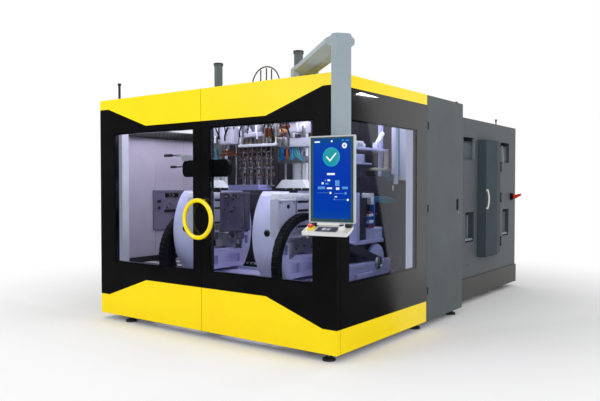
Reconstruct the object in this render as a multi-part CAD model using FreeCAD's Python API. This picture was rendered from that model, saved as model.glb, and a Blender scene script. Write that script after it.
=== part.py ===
"""Blow moulding machine with two travelling clamp units, in millimetres.

+Z is up and the floor is z = 0. The origin is under the middle levelling foot of the
moulding cell, on its centre line. The front doors face -Y, the extruder module lies
towards +Y, and the operator panel hangs over the front right corner.
"""
import FreeCAD, Part
import math
import os

V = FreeCAD.Vector
os.makedirs("parts", exist_ok=True)

# ---------------------------------------------------------------- driving dimensions
# moulding cell
CELL_WIDTH = 3280.0
CELL_DEPTH = 1760.0
PANEL_BOTTOM = 70.0
PANEL_TOP = 2520.0
SHEET = 6.0                 # wall of the folded steel panels
FACE_SHEET = 4.0            # yellow sheets and the black field between them
SIDE_PANEL_DEPTH = 40.0

# front doors
DOOR_DEPTH = 54.0
DOOR_SPLIT = 6.0            # gap between the two doors
BAND_END = 107.0            # height of the top yellow band at the door's outer end
BAND_MIDDLE = 326.0
LOW_BAND_END = 220.0
LOW_BAND_MIDDLE = 440.0
KINK_OUTER = 150.0          # distance of the band's two kinks from the outer end
KINK_INNER = 795.0
WINDOW_BOTTOM = 675.0
WINDOW_TOP = 2130.0
WINDOW_INNER = 115.0        # from the split to the window
WINDOW_OUTER = 1385.0
PANE = 8.0
LIP = 12.0
SIDE_WINDOW_FRONT = -680.0
SIDE_WINDOW_REAR = 640.0

# ring handle and interlock housing
RING_RADIUS = 188.0
RING_TUBE = 22.0
RING_Z = 1208.0
RING_STAND_OFF = 50.0
LOCK_LENGTH = 325.0
LOCK_BOTTOM = 1632.0
LOCK_TOP = 1806.0
LOCK_DEPTH = 52.0

# door rail
RAIL_WIDTH = 70.0
RAIL_HEIGHT = 70.0
RAIL_WALL = 5.0
RAIL_TOP = 2470.0
ROLLER_RADIUS = 20.0
HANGER_AT = (95.0, 430.0)   # from the door's inner edge
HANGER_LENGTH = 150.0

# base frame and feet
FRAME_BOTTOM = 90.0
FRAME_TOP = 240.0
BEAM = 100.0
PAD_RADIUS = 60.0
PAD_HEIGHT = 34.0
STEM_RADIUS = 12.0

# cell frame
POST = 100.0
POST_X = 1510.0
FRONT_POST_Y = -670.0
REAR_POST_Y = 630.0
RING_BEAM_TOP = 2480.0
ROOF_SHEET = 6.0
FLOOR_TOP = 600.0
GRATING = 20.0

# clamp units
STATION = 583.0             # distance of each blow station from the middle
PARTING_Y = -100.0          # plane on which the mould halves meet
CLAMP_WIDTH = 340.0
CLAMP_BOTTOM = 602.0
CLAMP_TOP = 1485.0
JAW_HALF = 300.0            # from the parting plane to each leg
JAW_FLOOR = 800.0
LEG_BULGE = 165.0
BULGE_Z = 950.0
PLATEN = 100.0
MOULD = 100.0
MOULD_STROKE = 96.0
MOULD_WIDTH = 320.0
MOULD_BOTTOM = 930.0
MOULD_TOP = 1440.0
CAVITY_PITCH = 106.0
CAVITIES = 3
CHAIN_RADIUS = 470.0
CHAIN_HEIGHT = 70.0
CHAIN_WIDTH = 80.0
CHAIN_LINKS = 20
BED_RAIL_HEIGHT = 30.0

# blow units
PIN_RADIUS = 11.0
PIN_TIP_Z = 1500.0
PIN_STROKE = 150.0
GUIDE_Z = 1518.0
GUIDE_HEIGHT = 87.0
CROSSHEAD_Z = GUIDE_Z + GUIDE_HEIGHT + PIN_STROKE + 25.0
CROSSHEAD_HEIGHT = 70.0
TUBE_Y = -15.0
TUBE_RADIUS = 48.0
TUBE_TOP = 2968.0

# extrusion head and extruder
HEAD_BOTTOM = 2060.0
HEAD_TOP = 2200.0
HEAD_HALF = 230.0
HEAD_DEPTH = 200.0
DIE_RADIUS = 45.0
DIE_BOTTOM = 1880.0
ROD_RADIUS = 9.0
ROD_BOTTOM = 1520.0
BARREL_RADIUS = 70.0
SCREW_RADIUS = 40.0
RUNNING_FIT = 0.06
BARREL_END = 2600.0
GEARBOX_LENGTH = 480.0
MOTOR_LENGTH = 620.0
MOTOR_RADIUS = 180.0

# grey modules
TALL_END = 1865.0
LEAF = 30.0                 # thickness of the tall module's door
LEAF_GAP = 4.0
REAR_HALF = 1440.0
REAR_END = 4420.0
REAR_TOP = 2415.0
PLINTH_TOP = 332.0
PLINTH_PROUD = 15.0
BAY_NEAR = TALL_END + 1010.0
BAY_FAR = BAY_NEAR + 870.0
BAY_BOTTOM = 575.0
BAY_TOP = 2160.0
BAY_PROUD = 100.0
SCOOP_DEPTH = 150.0

# operator arm and panel
ARM_X = 900.0
ARM_Y = -341.0
ARM_LENGTH = 1359.0
ARM_ANGLE = -41.6
ARM_TOP = 2730.0
ARM_HEIGHT = 126.0
ARM_WIDTH = 238.0
COLUMN_WIDTH = 250.0
POST_WIDTH = 158.0
POST_DEPTH = 76.0
POST_BOTTOM = 1640.0
CHAMFER = 30.0              # of the post, the arm's upper edges and the column
NOSE = 70.0                 # bevel of the arm's lower edges and of its front corners
PANEL_TURN = 6.0            # degrees that the screen turns from the front plane
MONITOR_WIDTH = 396.0
MONITOR_HEIGHT = 669.0
MONITOR_DEPTH = 28.0
MONITOR_BOTTOM = 1259.0
SCREEN_WIDTH = 370.0
SCREEN_HEIGHT = 650.0
SCREEN_RISE = 8.0           # frame below the glass
CONSOLE_WIDTH = 386.0
CONSOLE_DEPTH = 135.0
CONSOLE_THICK = 27.0
CONSOLE_TILT = 21.0

SEAT = 0.3                  # clearance of pieces that seat but must move
HALF_WIDTH = CELL_WIDTH / 2
HALF_DEPTH = CELL_DEPTH / 2
DOOR_BACK = -HALF_DEPTH + DOOR_DEPTH


# ---------------------------------------------------------------- helpers
def block(x0, x1, y0, y1, z0, z1):
    """Box between two corners."""
    return Part.makeBox(x1 - x0, y1 - y0, z1 - z0, V(x0, y0, z0))


def cylinder(radius, start, end):
    """Round bar from one point to another."""
    way = V(*end) - V(*start)
    return Part.makeCylinder(radius, way.Length, V(*start), way)


def cone(radius_start, radius_end, start, end):
    way = V(*end) - V(*start)
    return Part.makeCone(radius_start, radius_end, way.Length, V(*start), way)


def prism(points, way):
    """Closed outline of straight edges, pushed along a vector."""
    outline = [V(*p) for p in points]
    return Part.Face(Part.makePolygon(outline + [outline[0]])).extrude(V(*way))


def profile(edges, way):
    """Closed outline of lines and arcs: two points make a line, three make an arc."""
    parts = []
    for edge in edges:
        points = [V(*p) for p in edge]
        if len(points) == 2:
            parts.append(Part.makeLine(*points))
        else:
            parts.append(Part.Arc(*points).toShape())
    return Part.Face(Part.Wire(parts)).extrude(V(*way))


def fuse(shapes):
    """One solid from shapes that touch or overlap."""
    shapes = list(shapes)
    return shapes[0].multiFuse(shapes[1:]).removeSplitter() if len(shapes) > 1 else shapes[0]


def mirror_x(shape):
    return shape.mirror(V(0, 0, 0), V(1, 0, 0))


def turned(shape, centre, axis, degrees):
    copy = shape.copy()
    copy.rotate(V(*centre), V(*axis), degrees)
    return copy


def moved(shape, x=0.0, y=0.0, z=0.0):
    copy = shape.copy()
    copy.translate(V(x, y, z))
    return copy


def save(name, *solids):
    """Write one sub-part; like pieces share it as separate solids."""
    shape = solids[0] if len(solids) == 1 else Part.makeCompound(list(solids))
    if not shape.isValid():
        print("not valid:", name)
    shape.exportStep("parts/" + name + ".step")


def both_sides(name, right):
    """Save a right-hand piece and its mirror image."""
    save(name.format("right"), right)
    save(name.format("left"), mirror_x(right))


# ---------------------------------------------------------------- base frame and feet
FRONT_FEET = (-HALF_WIDTH + 435.0, HALF_WIDTH - 135.0)
FRONT_FOOT_Y = -HALF_DEPTH + 80.0
FOOT_X = HALF_WIDTH - 95.0
FOOT_ROWS = (REAR_POST_Y + 165.0, TALL_END - 120.0)
REAR_FOOT_X = REAR_HALF - 240.0
REAR_FOOT_ROWS = (TALL_END + 735.0, TALL_END + 1635.0, REAR_END - 150.0)
FOOT_PLACES = [(0.0, 0.0), (0.0, FOOT_ROWS[-1])]
FOOT_PLACES += [(x, FRONT_FOOT_Y) for x in FRONT_FEET]
FOOT_PLACES += [(side * FOOT_X, y) for y in FOOT_ROWS for side in (-1, 1)]
FOOT_PLACES += [(side * REAR_FOOT_X, y) for y in REAR_FOOT_ROWS for side in (-1, 1)]
SIDE_PANEL_BACK = HALF_WIDTH - SIDE_PANEL_DEPTH
FRAME_FRONT = -HALF_DEPTH + 60.0
PLINTH_HALF = REAR_HALF + PLINTH_PROUD
PLINTH_WALL = PLINTH_PROUD + SHEET
GEARBOX_Y = BARREL_END
BARREL_Z = (HEAD_BOTTOM + HEAD_TOP) / 2
GEARBOX_BOTTOM = BARREL_Z - 250.0
STAND_X = 200.0
STAND_LEG = 80.0
STAND_ROWS = (GEARBOX_Y + 60.0, GEARBOX_Y + GEARBOX_LENGTH - 60.0,
              GEARBOX_Y + GEARBOX_LENGTH + MOTOR_LENGTH - 60.0)


def base_frame():
    """Welded beams under the whole machine, with the extruder's stand."""
    low, high = FRAME_BOTTOM, FRAME_TOP
    beams = []
    for side in (-1, 1):
        outer, inner = side * SIDE_PANEL_BACK, side * (SIDE_PANEL_BACK - BEAM - 10)
        beams.append(block(min(outer, inner), max(outer, inner), FRAME_FRONT, TALL_END - 10, low, high))
        rear = side * REAR_FOOT_X
        beams.append(block(rear - BEAM / 2, rear + BEAM / 2, TALL_END - 110, REAR_END - 10, low, high))
    for y in (FRAME_FRONT, REAR_POST_Y):
        beams.append(block(-SIDE_PANEL_BACK, SIDE_PANEL_BACK, y, y + BEAM, low, high))
    tall_inner = HALF_WIDTH - SHEET
    beams.append(block(-tall_inner, SIDE_PANEL_BACK, TALL_END - 110, TALL_END - 10, low, high))
    beams.append(block(-tall_inner, SIDE_PANEL_BACK, HALF_DEPTH + 60, HALF_DEPTH + 60 + BEAM, low, high))
    plinth_inner = PLINTH_HALF - PLINTH_WALL
    for y in STAND_ROWS:
        beams.append(block(-plinth_inner, plinth_inner, y - BEAM / 2, y + BEAM / 2, low, high))
    last = REAR_END + PLINTH_PROUD - PLINTH_WALL
    beams.append(block(-plinth_inner, plinth_inner, last - BEAM, last, low, high))
    beams.append(block(-BEAM, BEAM, FRAME_FRONT, TALL_END - 10, low, high))
    for y in STAND_ROWS:
        for side in (-1, 1):
            x = side * STAND_X
            half = STAND_LEG / 2
            beams.append(block(x - half, x + half, y - half, y + half, high, GEARBOX_BOTTOM - STAND_LEG))
    beams.append(block(-STAND_X - STAND_LEG / 2, STAND_X + STAND_LEG / 2, STAND_ROWS[0] - STAND_LEG / 2,
                       STAND_ROWS[-1] + STAND_LEG / 2, GEARBOX_BOTTOM - STAND_LEG, GEARBOX_BOTTOM))
    return fuse(beams)


def foot_pad(x, y):
    """Round pad with a sloping upper side."""
    rim = PAD_HEIGHT * 0.5
    outline = [((x, y, 0), (x + PAD_RADIUS, y, 0)), ((x + PAD_RADIUS, y, 0), (x + PAD_RADIUS, y, rim)),
               ((x + PAD_RADIUS, y, rim), (x + PAD_RADIUS / 2, y, PAD_HEIGHT)),
               ((x + PAD_RADIUS / 2, y, PAD_HEIGHT), (x, y, PAD_HEIGHT)), ((x, y, PAD_HEIGHT), (x, y, 0))]
    wire = Part.Wire([Part.makeLine(V(*a), V(*b)) for a, b in outline])
    return Part.Face(wire).revolve(V(x, y, 0), V(0, 0, 1), 360)


def foot_stem(x, y):
    """Threaded stem with its lock nut under the beam."""
    stem = cylinder(STEM_RADIUS, (x, y, PAD_HEIGHT), (x, y, FRAME_BOTTOM))
    flats = [(x + 24 * math.cos(math.radians(a)), y + 24 * math.sin(math.radians(a)), FRAME_BOTTOM - 18)
             for a in range(0, 360, 60)]
    return fuse([stem, prism(flats, (0, 0, 18))])


# ---------------------------------------------------------------- cell frame, roof, floor
RING_BEAM_BOTTOM = RING_BEAM_TOP - BEAM
MAST_BACK = 40.0
MAST_BEAM_Y = MAST_BACK + 58.0


def cell_frame():
    """Posts and top beams of the moulding cell, with the ledges of its floor."""
    parts = []
    front, rear = FRONT_POST_Y - POST / 2, REAR_POST_Y - POST / 2
    outer = POST_X + POST / 2
    for side in (-1, 1):
        for y in (front, rear):
            x = side * POST_X
            parts.append(block(x - POST / 2, x + POST / 2, y, y + POST, FRAME_TOP, RING_BEAM_TOP))
        x0, x1 = sorted((side * (outer - POST), side * outer))
        parts.append(block(x0, x1, front, HALF_DEPTH, RING_BEAM_BOTTOM, RING_BEAM_TOP))
        x0, x1 = sorted((side * outer, side * SIDE_PANEL_BACK))
        parts.append(block(x0, x1, front, rear + POST, FLOOR_TOP - GRATING - 40, FLOOR_TOP - GRATING))
        for y in (front, rear):
            parts.append(block(x0, x1, y, y + POST, RING_BEAM_BOTTOM, RING_BEAM_BOTTOM + 40))
    for y in (front, rear, MAST_BEAM_Y):
        parts.append(block(-outer, outer, y, y + POST, RING_BEAM_BOTTOM, RING_BEAM_TOP))
    hanger_back = PARTING_Y + HEAD_DEPTH / 2
    parts.append(block(-100, 100, hanger_back - 70, MAST_BEAM_Y + 10, RING_BEAM_BOTTOM, RING_BEAM_TOP))
    parts.append(block(-100, 100, hanger_back - 70, hanger_back, HEAD_TOP, RING_BEAM_BOTTOM))
    return fuse(parts)


def door_rails():
    """Upper channel that carries the doors, and the lower guide channel."""
    y0 = DOOR_BACK + 6
    y1 = y0 + RAIL_WIDTH
    middle = (y0 + y1) / 2
    x = SIDE_PANEL_BACK - 10
    bottom = RAIL_TOP - RAIL_HEIGHT
    rail = block(-x, x, y0, y1, bottom, RAIL_TOP)
    rail = rail.cut(block(-x, x, y0 + RAIL_WALL, y1 - RAIL_WALL, bottom + RAIL_WALL, RAIL_TOP - RAIL_WALL))
    rail = rail.cut(block(-x, x, middle - 12, middle + 12, bottom, bottom + RAIL_WALL))
    brackets = [block(at - 40, at + 40, y1, FRONT_POST_Y - POST / 2, bottom + 10, RAIL_TOP)
                for at in (-1450, -725, 0, 725, 1450)]
    guide = block(-x, x, middle - 18, middle + 18, FRAME_TOP, FRAME_TOP + 40)
    guide = guide.cut(block(-x, x, middle - 7, middle + 7, FRAME_TOP + 5, FRAME_TOP + 40))
    return fuse([rail] + brackets), guide


def roof_panel():
    """Roof sheet of the cell with holes for the lift tubes and the hoses, and a vent post."""
    edge = SIDE_PANEL_BACK - 5
    front = FRONT_POST_Y - POST / 2 - 20
    roof = block(-edge, edge, front, HALF_DEPTH - 4, RING_BEAM_TOP, RING_BEAM_TOP + ROOF_SHEET)
    for side in (-1, 1):
        roof = roof.cut(cylinder(TUBE_RADIUS + 4, (side * STATION, TUBE_Y, RING_BEAM_TOP - 1),
                                 (side * STATION, TUBE_Y, RING_BEAM_TOP + ROOF_SHEET + 1)))
    top = RING_BEAM_TOP + ROOF_SHEET
    x, y, high = -SIDE_PANEL_BACK + 55, FRONT_POST_Y - 10, top + 229
    post = fuse([cylinder(14, (x, y, top), (x, y, high)),
                 cylinder(24, (x, y, top), (x, y, top + 20)),
                 cylinder(20, (x, y, high), (x, y, high + 25))])
    return roof, post


def floor_grating():
    """Plates to walk on around the clamp units' path."""
    edge = SIDE_PANEL_BACK - 5
    plate = block(-edge, edge, FRAME_FRONT + 20, HALF_DEPTH - 5, FLOOR_TOP - GRATING, FLOOR_TOP)
    plate = plate.cut(block(-BED_HALF - 20, BED_HALF + 20, -715, 440, FLOOR_TOP - GRATING - 1, FLOOR_TOP + 1))
    for side in (-1, 1):
        for y in (FRONT_POST_Y, REAR_POST_Y):
            half = POST / 2 + 1
            x = side * POST_X
            plate = plate.cut(block(x - half, x + half, y - half, y + half, 0, FLOOR_TOP + 1))
    return plate


# ---------------------------------------------------------------- panels and windows
BLACK_BACK = -HALF_DEPTH + FACE_SHEET


def window_cut(x0, x1, lip=0.0):
    return block(x0 + lip, x1 - lip, -HALF_DEPTH - 1, DOOR_BACK + 1,
                 WINDOW_BOTTOM + lip, WINDOW_TOP - lip)


def band_outline(top, y):
    """Outline of a door's upper or lower yellow band, on the plane y."""
    x0, x1 = DOOR_SPLIT / 2, HALF_WIDTH
    if top:
        edge, end, middle = PANEL_TOP, PANEL_TOP - BAND_END, PANEL_TOP - BAND_MIDDLE
    else:
        edge, end, middle = PANEL_BOTTOM, PANEL_BOTTOM + LOW_BAND_END, PANEL_BOTTOM + LOW_BAND_MIDDLE
    return [(x0, y, edge), (x1, y, edge), (x1, y, end), (x1 - KINK_OUTER, y, end),
            (x1 - KINK_INNER, y, middle), (x0, y, middle)]


def door_trim():
    """Two yellow sheets of the right door, folded round its outer end."""
    sheets = []
    for top in (True, False):
        outline = band_outline(top, -HALF_DEPTH)
        sheet = prism(outline, (0, FACE_SHEET, 0))
        edge, end = outline[1][2], outline[2][2]
        fold = block(HALF_WIDTH - FACE_SHEET, HALF_WIDTH, -HALF_DEPTH, DOOR_BACK,
                     min(edge, end), max(edge, end))
        sheets.append(fuse([sheet, fold]))
    return sheets


def door_panel():
    """Pressed black panel of the right door, open at the back, with its hangers."""
    x0, x1 = DOOR_SPLIT / 2, HALF_WIDTH
    outer = block(x0, x1, -HALF_DEPTH, DOOR_BACK, PANEL_BOTTOM, PANEL_TOP)
    pocket = block(x0 + SHEET, x1 - FACE_SHEET - SHEET, BLACK_BACK + SHEET, DOOR_BACK,
                   PANEL_BOTTOM + SHEET, PANEL_TOP - SHEET)
    wx0, wx1 = WINDOW_INNER, WINDOW_OUTER
    surround = block(wx0 - SHEET, wx1 + SHEET, BLACK_BACK, DOOR_BACK,
                     WINDOW_BOTTOM - SHEET, WINDOW_TOP + SHEET)
    ribs = [block(wx1 + 115, wx1 + 121, BLACK_BACK, DOOR_BACK, PANEL_BOTTOM, PANEL_TOP),
            block(x0, x1 - FACE_SHEET, BLACK_BACK, DOOR_BACK, PANEL_TOP - 200, PANEL_TOP - 194),
            block(x0, x1 - FACE_SHEET, BLACK_BACK, DOOR_BACK, PANEL_BOTTOM + 214, PANEL_BOTTOM + 220)]
    panel = fuse([outer.cut(pocket), surround] + ribs)
    for trim in door_trim():
        panel = panel.cut(trim)
    pane_back = -HALF_DEPTH + 2 + PANE
    front_cut = block(wx0, wx1, -HALF_DEPTH - 1, pane_back, WINDOW_BOTTOM, WINDOW_TOP)
    panel = panel.cut(front_cut).cut(window_cut(wx0, wx1, LIP))
    y_rail = DOOR_BACK + 6 + RAIL_WIDTH / 2
    low = RAIL_TOP - RAIL_HEIGHT + RAIL_WALL
    roller_z = low + ROLLER_RADIUS + SEAT
    extras = []
    for at in HANGER_AT:
        a, b = at - HANGER_LENGTH / 2, at + HANGER_LENGTH / 2
        hanger_z = RAIL_TOP - RAIL_HEIGHT - 74
        extras.append(block(a, b, DOOR_BACK, y_rail + 8, hanger_z, hanger_z + 16))
        extras.append(block(a, b, y_rail - 8, y_rail + 8, hanger_z, roller_z + 12))
        for x in (a + 30, b - 30):
            extras.append(cylinder(ROLLER_RADIUS, (x, y_rail - 26, roller_z), (x, y_rail + 26, roller_z)))
        extras.append(block(a, b, DOOR_BACK, y_rail + 5, FRAME_TOP + 46, FRAME_TOP + 56))
        extras.append(block(a, b, y_rail - 5, y_rail + 5, FRAME_TOP + 8, FRAME_TOP + 56))
    return fuse([panel] + extras)


def pane(x0, x1):
    """Clear pane set in the front of a window opening."""
    return block(x0, x1, -HALF_DEPTH + 2, -HALF_DEPTH + 2 + PANE, WINDOW_BOTTOM, WINDOW_TOP)


def ring_half():
    """Right half of the round handle, with its two legs."""
    y = -HALF_DEPTH - RING_STAND_OFF
    circle = Part.Wire(Part.makeCircle(RING_TUBE, V(0, y, RING_Z + RING_RADIUS), V(1, 0, 0)))
    ring = Part.Face(circle).revolve(V(0, y, RING_Z), V(0, 1, 0), 180)
    if ring.BoundBox.XMax < RING_RADIUS:
        ring = mirror_x(ring)
    ring = ring.cut(block(-RING_RADIUS, DOOR_SPLIT / 2, y - 50, y + 50, RING_Z - 300, RING_Z + 300))
    legs = []
    for up in (-1, 1):
        angle = math.radians(up * 76)
        x, z = RING_RADIUS * math.cos(angle), RING_Z + RING_RADIUS * math.sin(angle)
        legs.append(cylinder(15, (x, y, z), (x, -HALF_DEPTH, z)))
    return fuse([ring] + legs)


def lock_housing():
    """Rounded housing of the door switch, behind the right door's inner edge."""
    x0, x1 = DOOR_SPLIT / 2, DOOR_SPLIT / 2 + LOCK_LENGTH
    radius = 60.0
    y = DOOR_BACK
    mid = radius * (1 - math.sqrt(0.5))
    edges = [((x0, y, LOCK_BOTTOM), (x1 - radius, y, LOCK_BOTTOM)),
             ((x1 - radius, y, LOCK_BOTTOM), (x1 - mid, y, LOCK_BOTTOM + mid), (x1, y, LOCK_BOTTOM + radius)),
             ((x1, y, LOCK_BOTTOM + radius), (x1, y, LOCK_TOP - radius)),
             ((x1, y, LOCK_TOP - radius), (x1 - mid, y, LOCK_TOP - mid), (x1 - radius, y, LOCK_TOP)),
             ((x1 - radius, y, LOCK_TOP), (x0, y, LOCK_TOP)),
             ((x0, y, LOCK_TOP), (x0, y, LOCK_BOTTOM))]
    housing = profile(edges, (0, LOCK_DEPTH, 0))
    knobs = []
    for radius, back in ((14, 90), (10, 190)):
        x, face, z = x1 - back, y + LOCK_DEPTH, LOCK_TOP - 30
        knobs.append(cylinder(radius, (x, face - 8, z), (x, face + 14, z)))
    return fuse([housing] + knobs)


def side_shell(windowed):
    """Right side panel between the front doors and the tall module."""
    x0, x1 = SIDE_PANEL_BACK, HALF_WIDTH
    y0, y1 = DOOR_BACK + 6, HALF_DEPTH
    shell = block(x0, x1, y0, y1, PANEL_BOTTOM, PANEL_TOP)
    low, high = PANEL_BOTTOM + LOW_BAND_END, PANEL_TOP - BAND_END - 3
    for z0, z1 in ((PANEL_BOTTOM, low), (high, PANEL_TOP)):
        shell = shell.cut(block(x1 - FACE_SHEET, x1, y0, y1, z0, z1))
    if windowed:
        w0, w1 = SIDE_WINDOW_FRONT, SIDE_WINDOW_REAR
        inner = x1 - FACE_SHEET - SHEET
        pocket = block(x0, inner, y0 + SHEET, y1 - SHEET, PANEL_BOTTOM + SHEET, PANEL_TOP - SHEET)
        surround = block(x0, inner, w0 - SHEET, w1 + SHEET, WINDOW_BOTTOM - SHEET, WINDOW_TOP + SHEET)
        shell = fuse([shell.cut(pocket), surround])
        shell = shell.cut(block(x1 - 2 - PANE, x1 + 1, w0, w1, WINDOW_BOTTOM, WINDOW_TOP))
        shell = shell.cut(block(x0 - 1, x1 + 1, w0 + LIP, w1 - LIP, WINDOW_BOTTOM + LIP, WINDOW_TOP - LIP))
    return shell


def left_panel():
    """Closed left side panel with a bolted service hatch in its inner face."""
    shell = mirror_x(side_shell(False))
    x = -SIDE_PANEL_BACK
    frame = block(x - 3, x + 4, -150, 435, 950, 1515)
    cover = block(x, x + 8, -136, 420, 965, 1500)
    knobs = [cylinder(9, (x + 8, y, z), (x + 14, y, z)) for y in (-110, 394) for z in (990, 1475)]
    return fuse([shell, frame, cover] + knobs)


def side_trims():
    """Straight yellow sheets of both side panels."""
    y0, y1 = DOOR_BACK + 6, HALF_DEPTH
    low, high = PANEL_BOTTOM + LOW_BAND_END, PANEL_TOP - BAND_END - 3
    sheets = [block(HALF_WIDTH - FACE_SHEET, HALF_WIDTH, y0, y1, z0, z1)
              for z0, z1 in ((PANEL_BOTTOM, low), (high, PANEL_TOP))]
    return sheets + [mirror_x(sheet) for sheet in sheets]


# ---------------------------------------------------------------- bed and clamp units
BED_RAIL_Y = (-380.0, 180.0)
BED_TOP = CLAMP_BOTTOM - BED_RAIL_HEIGHT - 12.0
BED_HALF = STATION + CLAMP_WIDTH / 2 + 147.0
BED_WINDOWS = 4


def machine_bed():
    """Cast bed with windows in its flank and two rails for the clamp carriages."""
    y0, y1 = BED_RAIL_Y[0] - 60, BED_RAIL_Y[1] + 60
    bed = block(-BED_HALF, BED_HALF, y0, y1, FRAME_TOP, BED_TOP)
    bed = bed.cut(block(-BED_HALF + 60, BED_HALF - 60, y0 + 60, y1 - 60, FRAME_TOP, BED_TOP - 50))
    pitch = 2 * BED_HALF / BED_WINDOWS
    for n in range(BED_WINDOWS):
        x = -BED_HALF + (n + 0.5) * pitch
        bed = bed.cut(block(x - 130, x + 130, y0 - 1, y1 + 1, FRAME_TOP + 80, BED_TOP - 90))
    rails = []
    for y in BED_RAIL_Y:
        rail = block(-BED_HALF, BED_HALF, y - 20, y + 20, BED_TOP, BED_TOP + BED_RAIL_HEIGHT)
        for side in (-1, 1):
            rail = rail.cut(block(-BED_HALF, BED_HALF, y + side * 14 - (6 if side < 0 else 0),
                                  y + side * 14 + (6 if side > 0 else 0), BED_TOP + 10, BED_TOP + 18))
        rails.append(rail)
    return [bed] + rails


def clamp_frame():
    """C-frame casting of the right clamp unit, open at the top, with its rail shoes."""
    x0 = STATION - CLAMP_WIDTH / 2
    front, rear = PARTING_Y - JAW_HALF, PARTING_Y + JAW_HALF
    top, low, bulge = CLAMP_TOP, CLAMP_BOTTOM, LEG_BULGE
    edges = [((x0, front, top), (x0, front - 45, top - 45)),
             ((x0, front - 45, top - 45), (x0, front - bulge, BULGE_Z), (x0, front - 25, low)),
             ((x0, front - 25, low), (x0, rear + 25, low)),
             ((x0, rear + 25, low), (x0, rear + bulge, BULGE_Z), (x0, rear + 45, top - 45)),
             ((x0, rear + 45, top - 45), (x0, rear, top)),
             ((x0, rear, top), (x0, rear, JAW_FLOOR)),
             ((x0, rear, JAW_FLOOR), (x0, front, JAW_FLOOR)),
             ((x0, front, JAW_FLOOR), (x0, front, top))]
    frame = profile(edges, (CLAMP_WIDTH, 0, 0))
    x1 = x0 + CLAMP_WIDTH
    pockets = ((1395, 1360, 55, 20), (1320, 1180, 95, 20), (1140, 990, 115, 20), (950, 850, 100, 20))
    for high, bottom, depth, wall in pockets:
        for side in (-1, 1):
            a, b = sorted((PARTING_Y + side * (JAW_HALF + wall), PARTING_Y + side * (JAW_HALF + depth)))
            frame = frame.cut(block(x1 - 45, x1 + 1, a, b, bottom, high))
            frame = frame.cut(block(x0 - 1, x0 + 45, a, b, bottom, high))
    for y in (front + 40, PARTING_Y + 10, rear - 190):
        frame = frame.cut(block(x1 - 40, x1 + 1, y, y + 150, 650, 750))
        frame = frame.cut(block(x0 - 1, x0 + 40, y, y + 150, 650, 750))
    for side in (-1, 1):
        y = PARTING_Y + side * (JAW_HALF - 1)
        frame = frame.cut(cylinder(SPINDLE_RADIUS + RUNNING_FIT, (STATION, y, SPINDLE_Z),
                                   (STATION, y + side * SPINDLE_DEPTH, SPINDLE_Z)))
    rails = [block(STATION + dx - 15, STATION + dx + 15, front, rear, JAW_FLOOR, JAW_FLOOR + 20)
             for dx in (-GUIDE_X, GUIDE_X)]
    shoes = []
    for y in BED_RAIL_Y:
        for dx in (-115, 115):
            x = STATION + dx
            shoe = block(x - 50, x + 50, y - 38, y + 38, BED_TOP + 4, CLAMP_BOTTOM)
            high = BED_TOP + BED_RAIL_HEIGHT + SEAT
            slot = block(x - 51, x + 51, y - 20 - SEAT, y + 20 + SEAT, BED_TOP, high)
            shoes.append(shoe.cut(slot))
    return fuse([frame] + rails + shoes)


SPINDLE_RADIUS = 30.0
SPINDLE_Z = 1140.0
SPINDLE_DEPTH = 118.0
GUIDE_X = 110.0


def half_set(side):
    """Platen and mould half on one side of the parting plane, open; side is -1 or 1."""
    def y_span(near, far):
        return sorted((PARTING_Y + side * near, PARTING_Y + side * far))
    x0, x1 = STATION - CLAMP_WIDTH / 2 + 8, STATION + CLAMP_WIDTH / 2 - 8
    y0, y1 = y_span(MOULD + MOULD_STROKE, MOULD + MOULD_STROKE + PLATEN)
    platen = block(x0, x1, y0, y1, JAW_FLOOR + 20 + SEAT, MOULD_TOP + 20)
    for z in (860, 1010, 1160, 1310):
        for face, depth in ((x1, -40), (x0, 40)):
            a, b = sorted((face, face + depth))
            platen = platen.cut(block(a, b, y0 + 18, y1 - 18, z, z + 110))
    for dx in (-GUIDE_X, GUIDE_X):
        x = STATION + dx
        platen = fuse([platen, block(x - 26, x + 26, y0, y1, JAW_FLOOR + SEAT, JAW_FLOOR + 40)])
        platen = platen.cut(block(x - 15 - SEAT, x + 15 + SEAT, y0 - 1, y1 + 1,
                                  JAW_FLOOR - 1, JAW_FLOOR + 20 + SEAT))
    back = PARTING_Y + side * (MOULD + MOULD_STROKE + PLATEN - 5)
    tip = back + side * (SPINDLE_DEPTH - 10)
    platen = fuse([platen, cylinder(SPINDLE_RADIUS, (STATION, back, SPINDLE_Z), (STATION, tip, SPINDLE_Z))])
    y0, y1 = y_span(MOULD_STROKE, MOULD_STROKE + MOULD)
    mould = block(STATION - MOULD_WIDTH / 2, STATION + MOULD_WIDTH / 2, y0, y1, MOULD_BOTTOM, MOULD_TOP)
    face = PARTING_Y + side * MOULD_STROKE
    for n in range(CAVITIES):
        x = STATION + (n - (CAVITIES - 1) / 2) * CAVITY_PITCH
        mould = mould.cut(bottle(x, face))
    return [platen, mould]


def bottle(x, y):
    """Form of one bottle, neck up, to cut from both mould halves."""
    bottom = MOULD_BOTTOM + 60
    body, neck = 42.0, 15.0
    shoulder, neck_z, top = MOULD_TOP - 140, MOULD_TOP - 90, MOULD_TOP + 1
    points = [(0, bottom), (body - 8, bottom), (body, bottom + 8), (body, shoulder), (neck, neck_z),
              (neck, top), (0, top)]
    edges = []
    for index, (r, z) in enumerate(points):
        r2, z2 = points[(index + 1) % len(points)]
        if (r, z) == (body, shoulder):
            edges.append(Part.Arc(V(x + r, y, z), V(x + 36, y, z + 32), V(x + r2, y, z2)).toShape())
        else:
            edges.append(Part.makeLine(V(x + r, y, z), V(x + r2, y, z2)))
    return Part.Face(Part.Wire(edges)).revolve(V(x, y, 0), V(0, 0, 1), 360)


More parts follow.
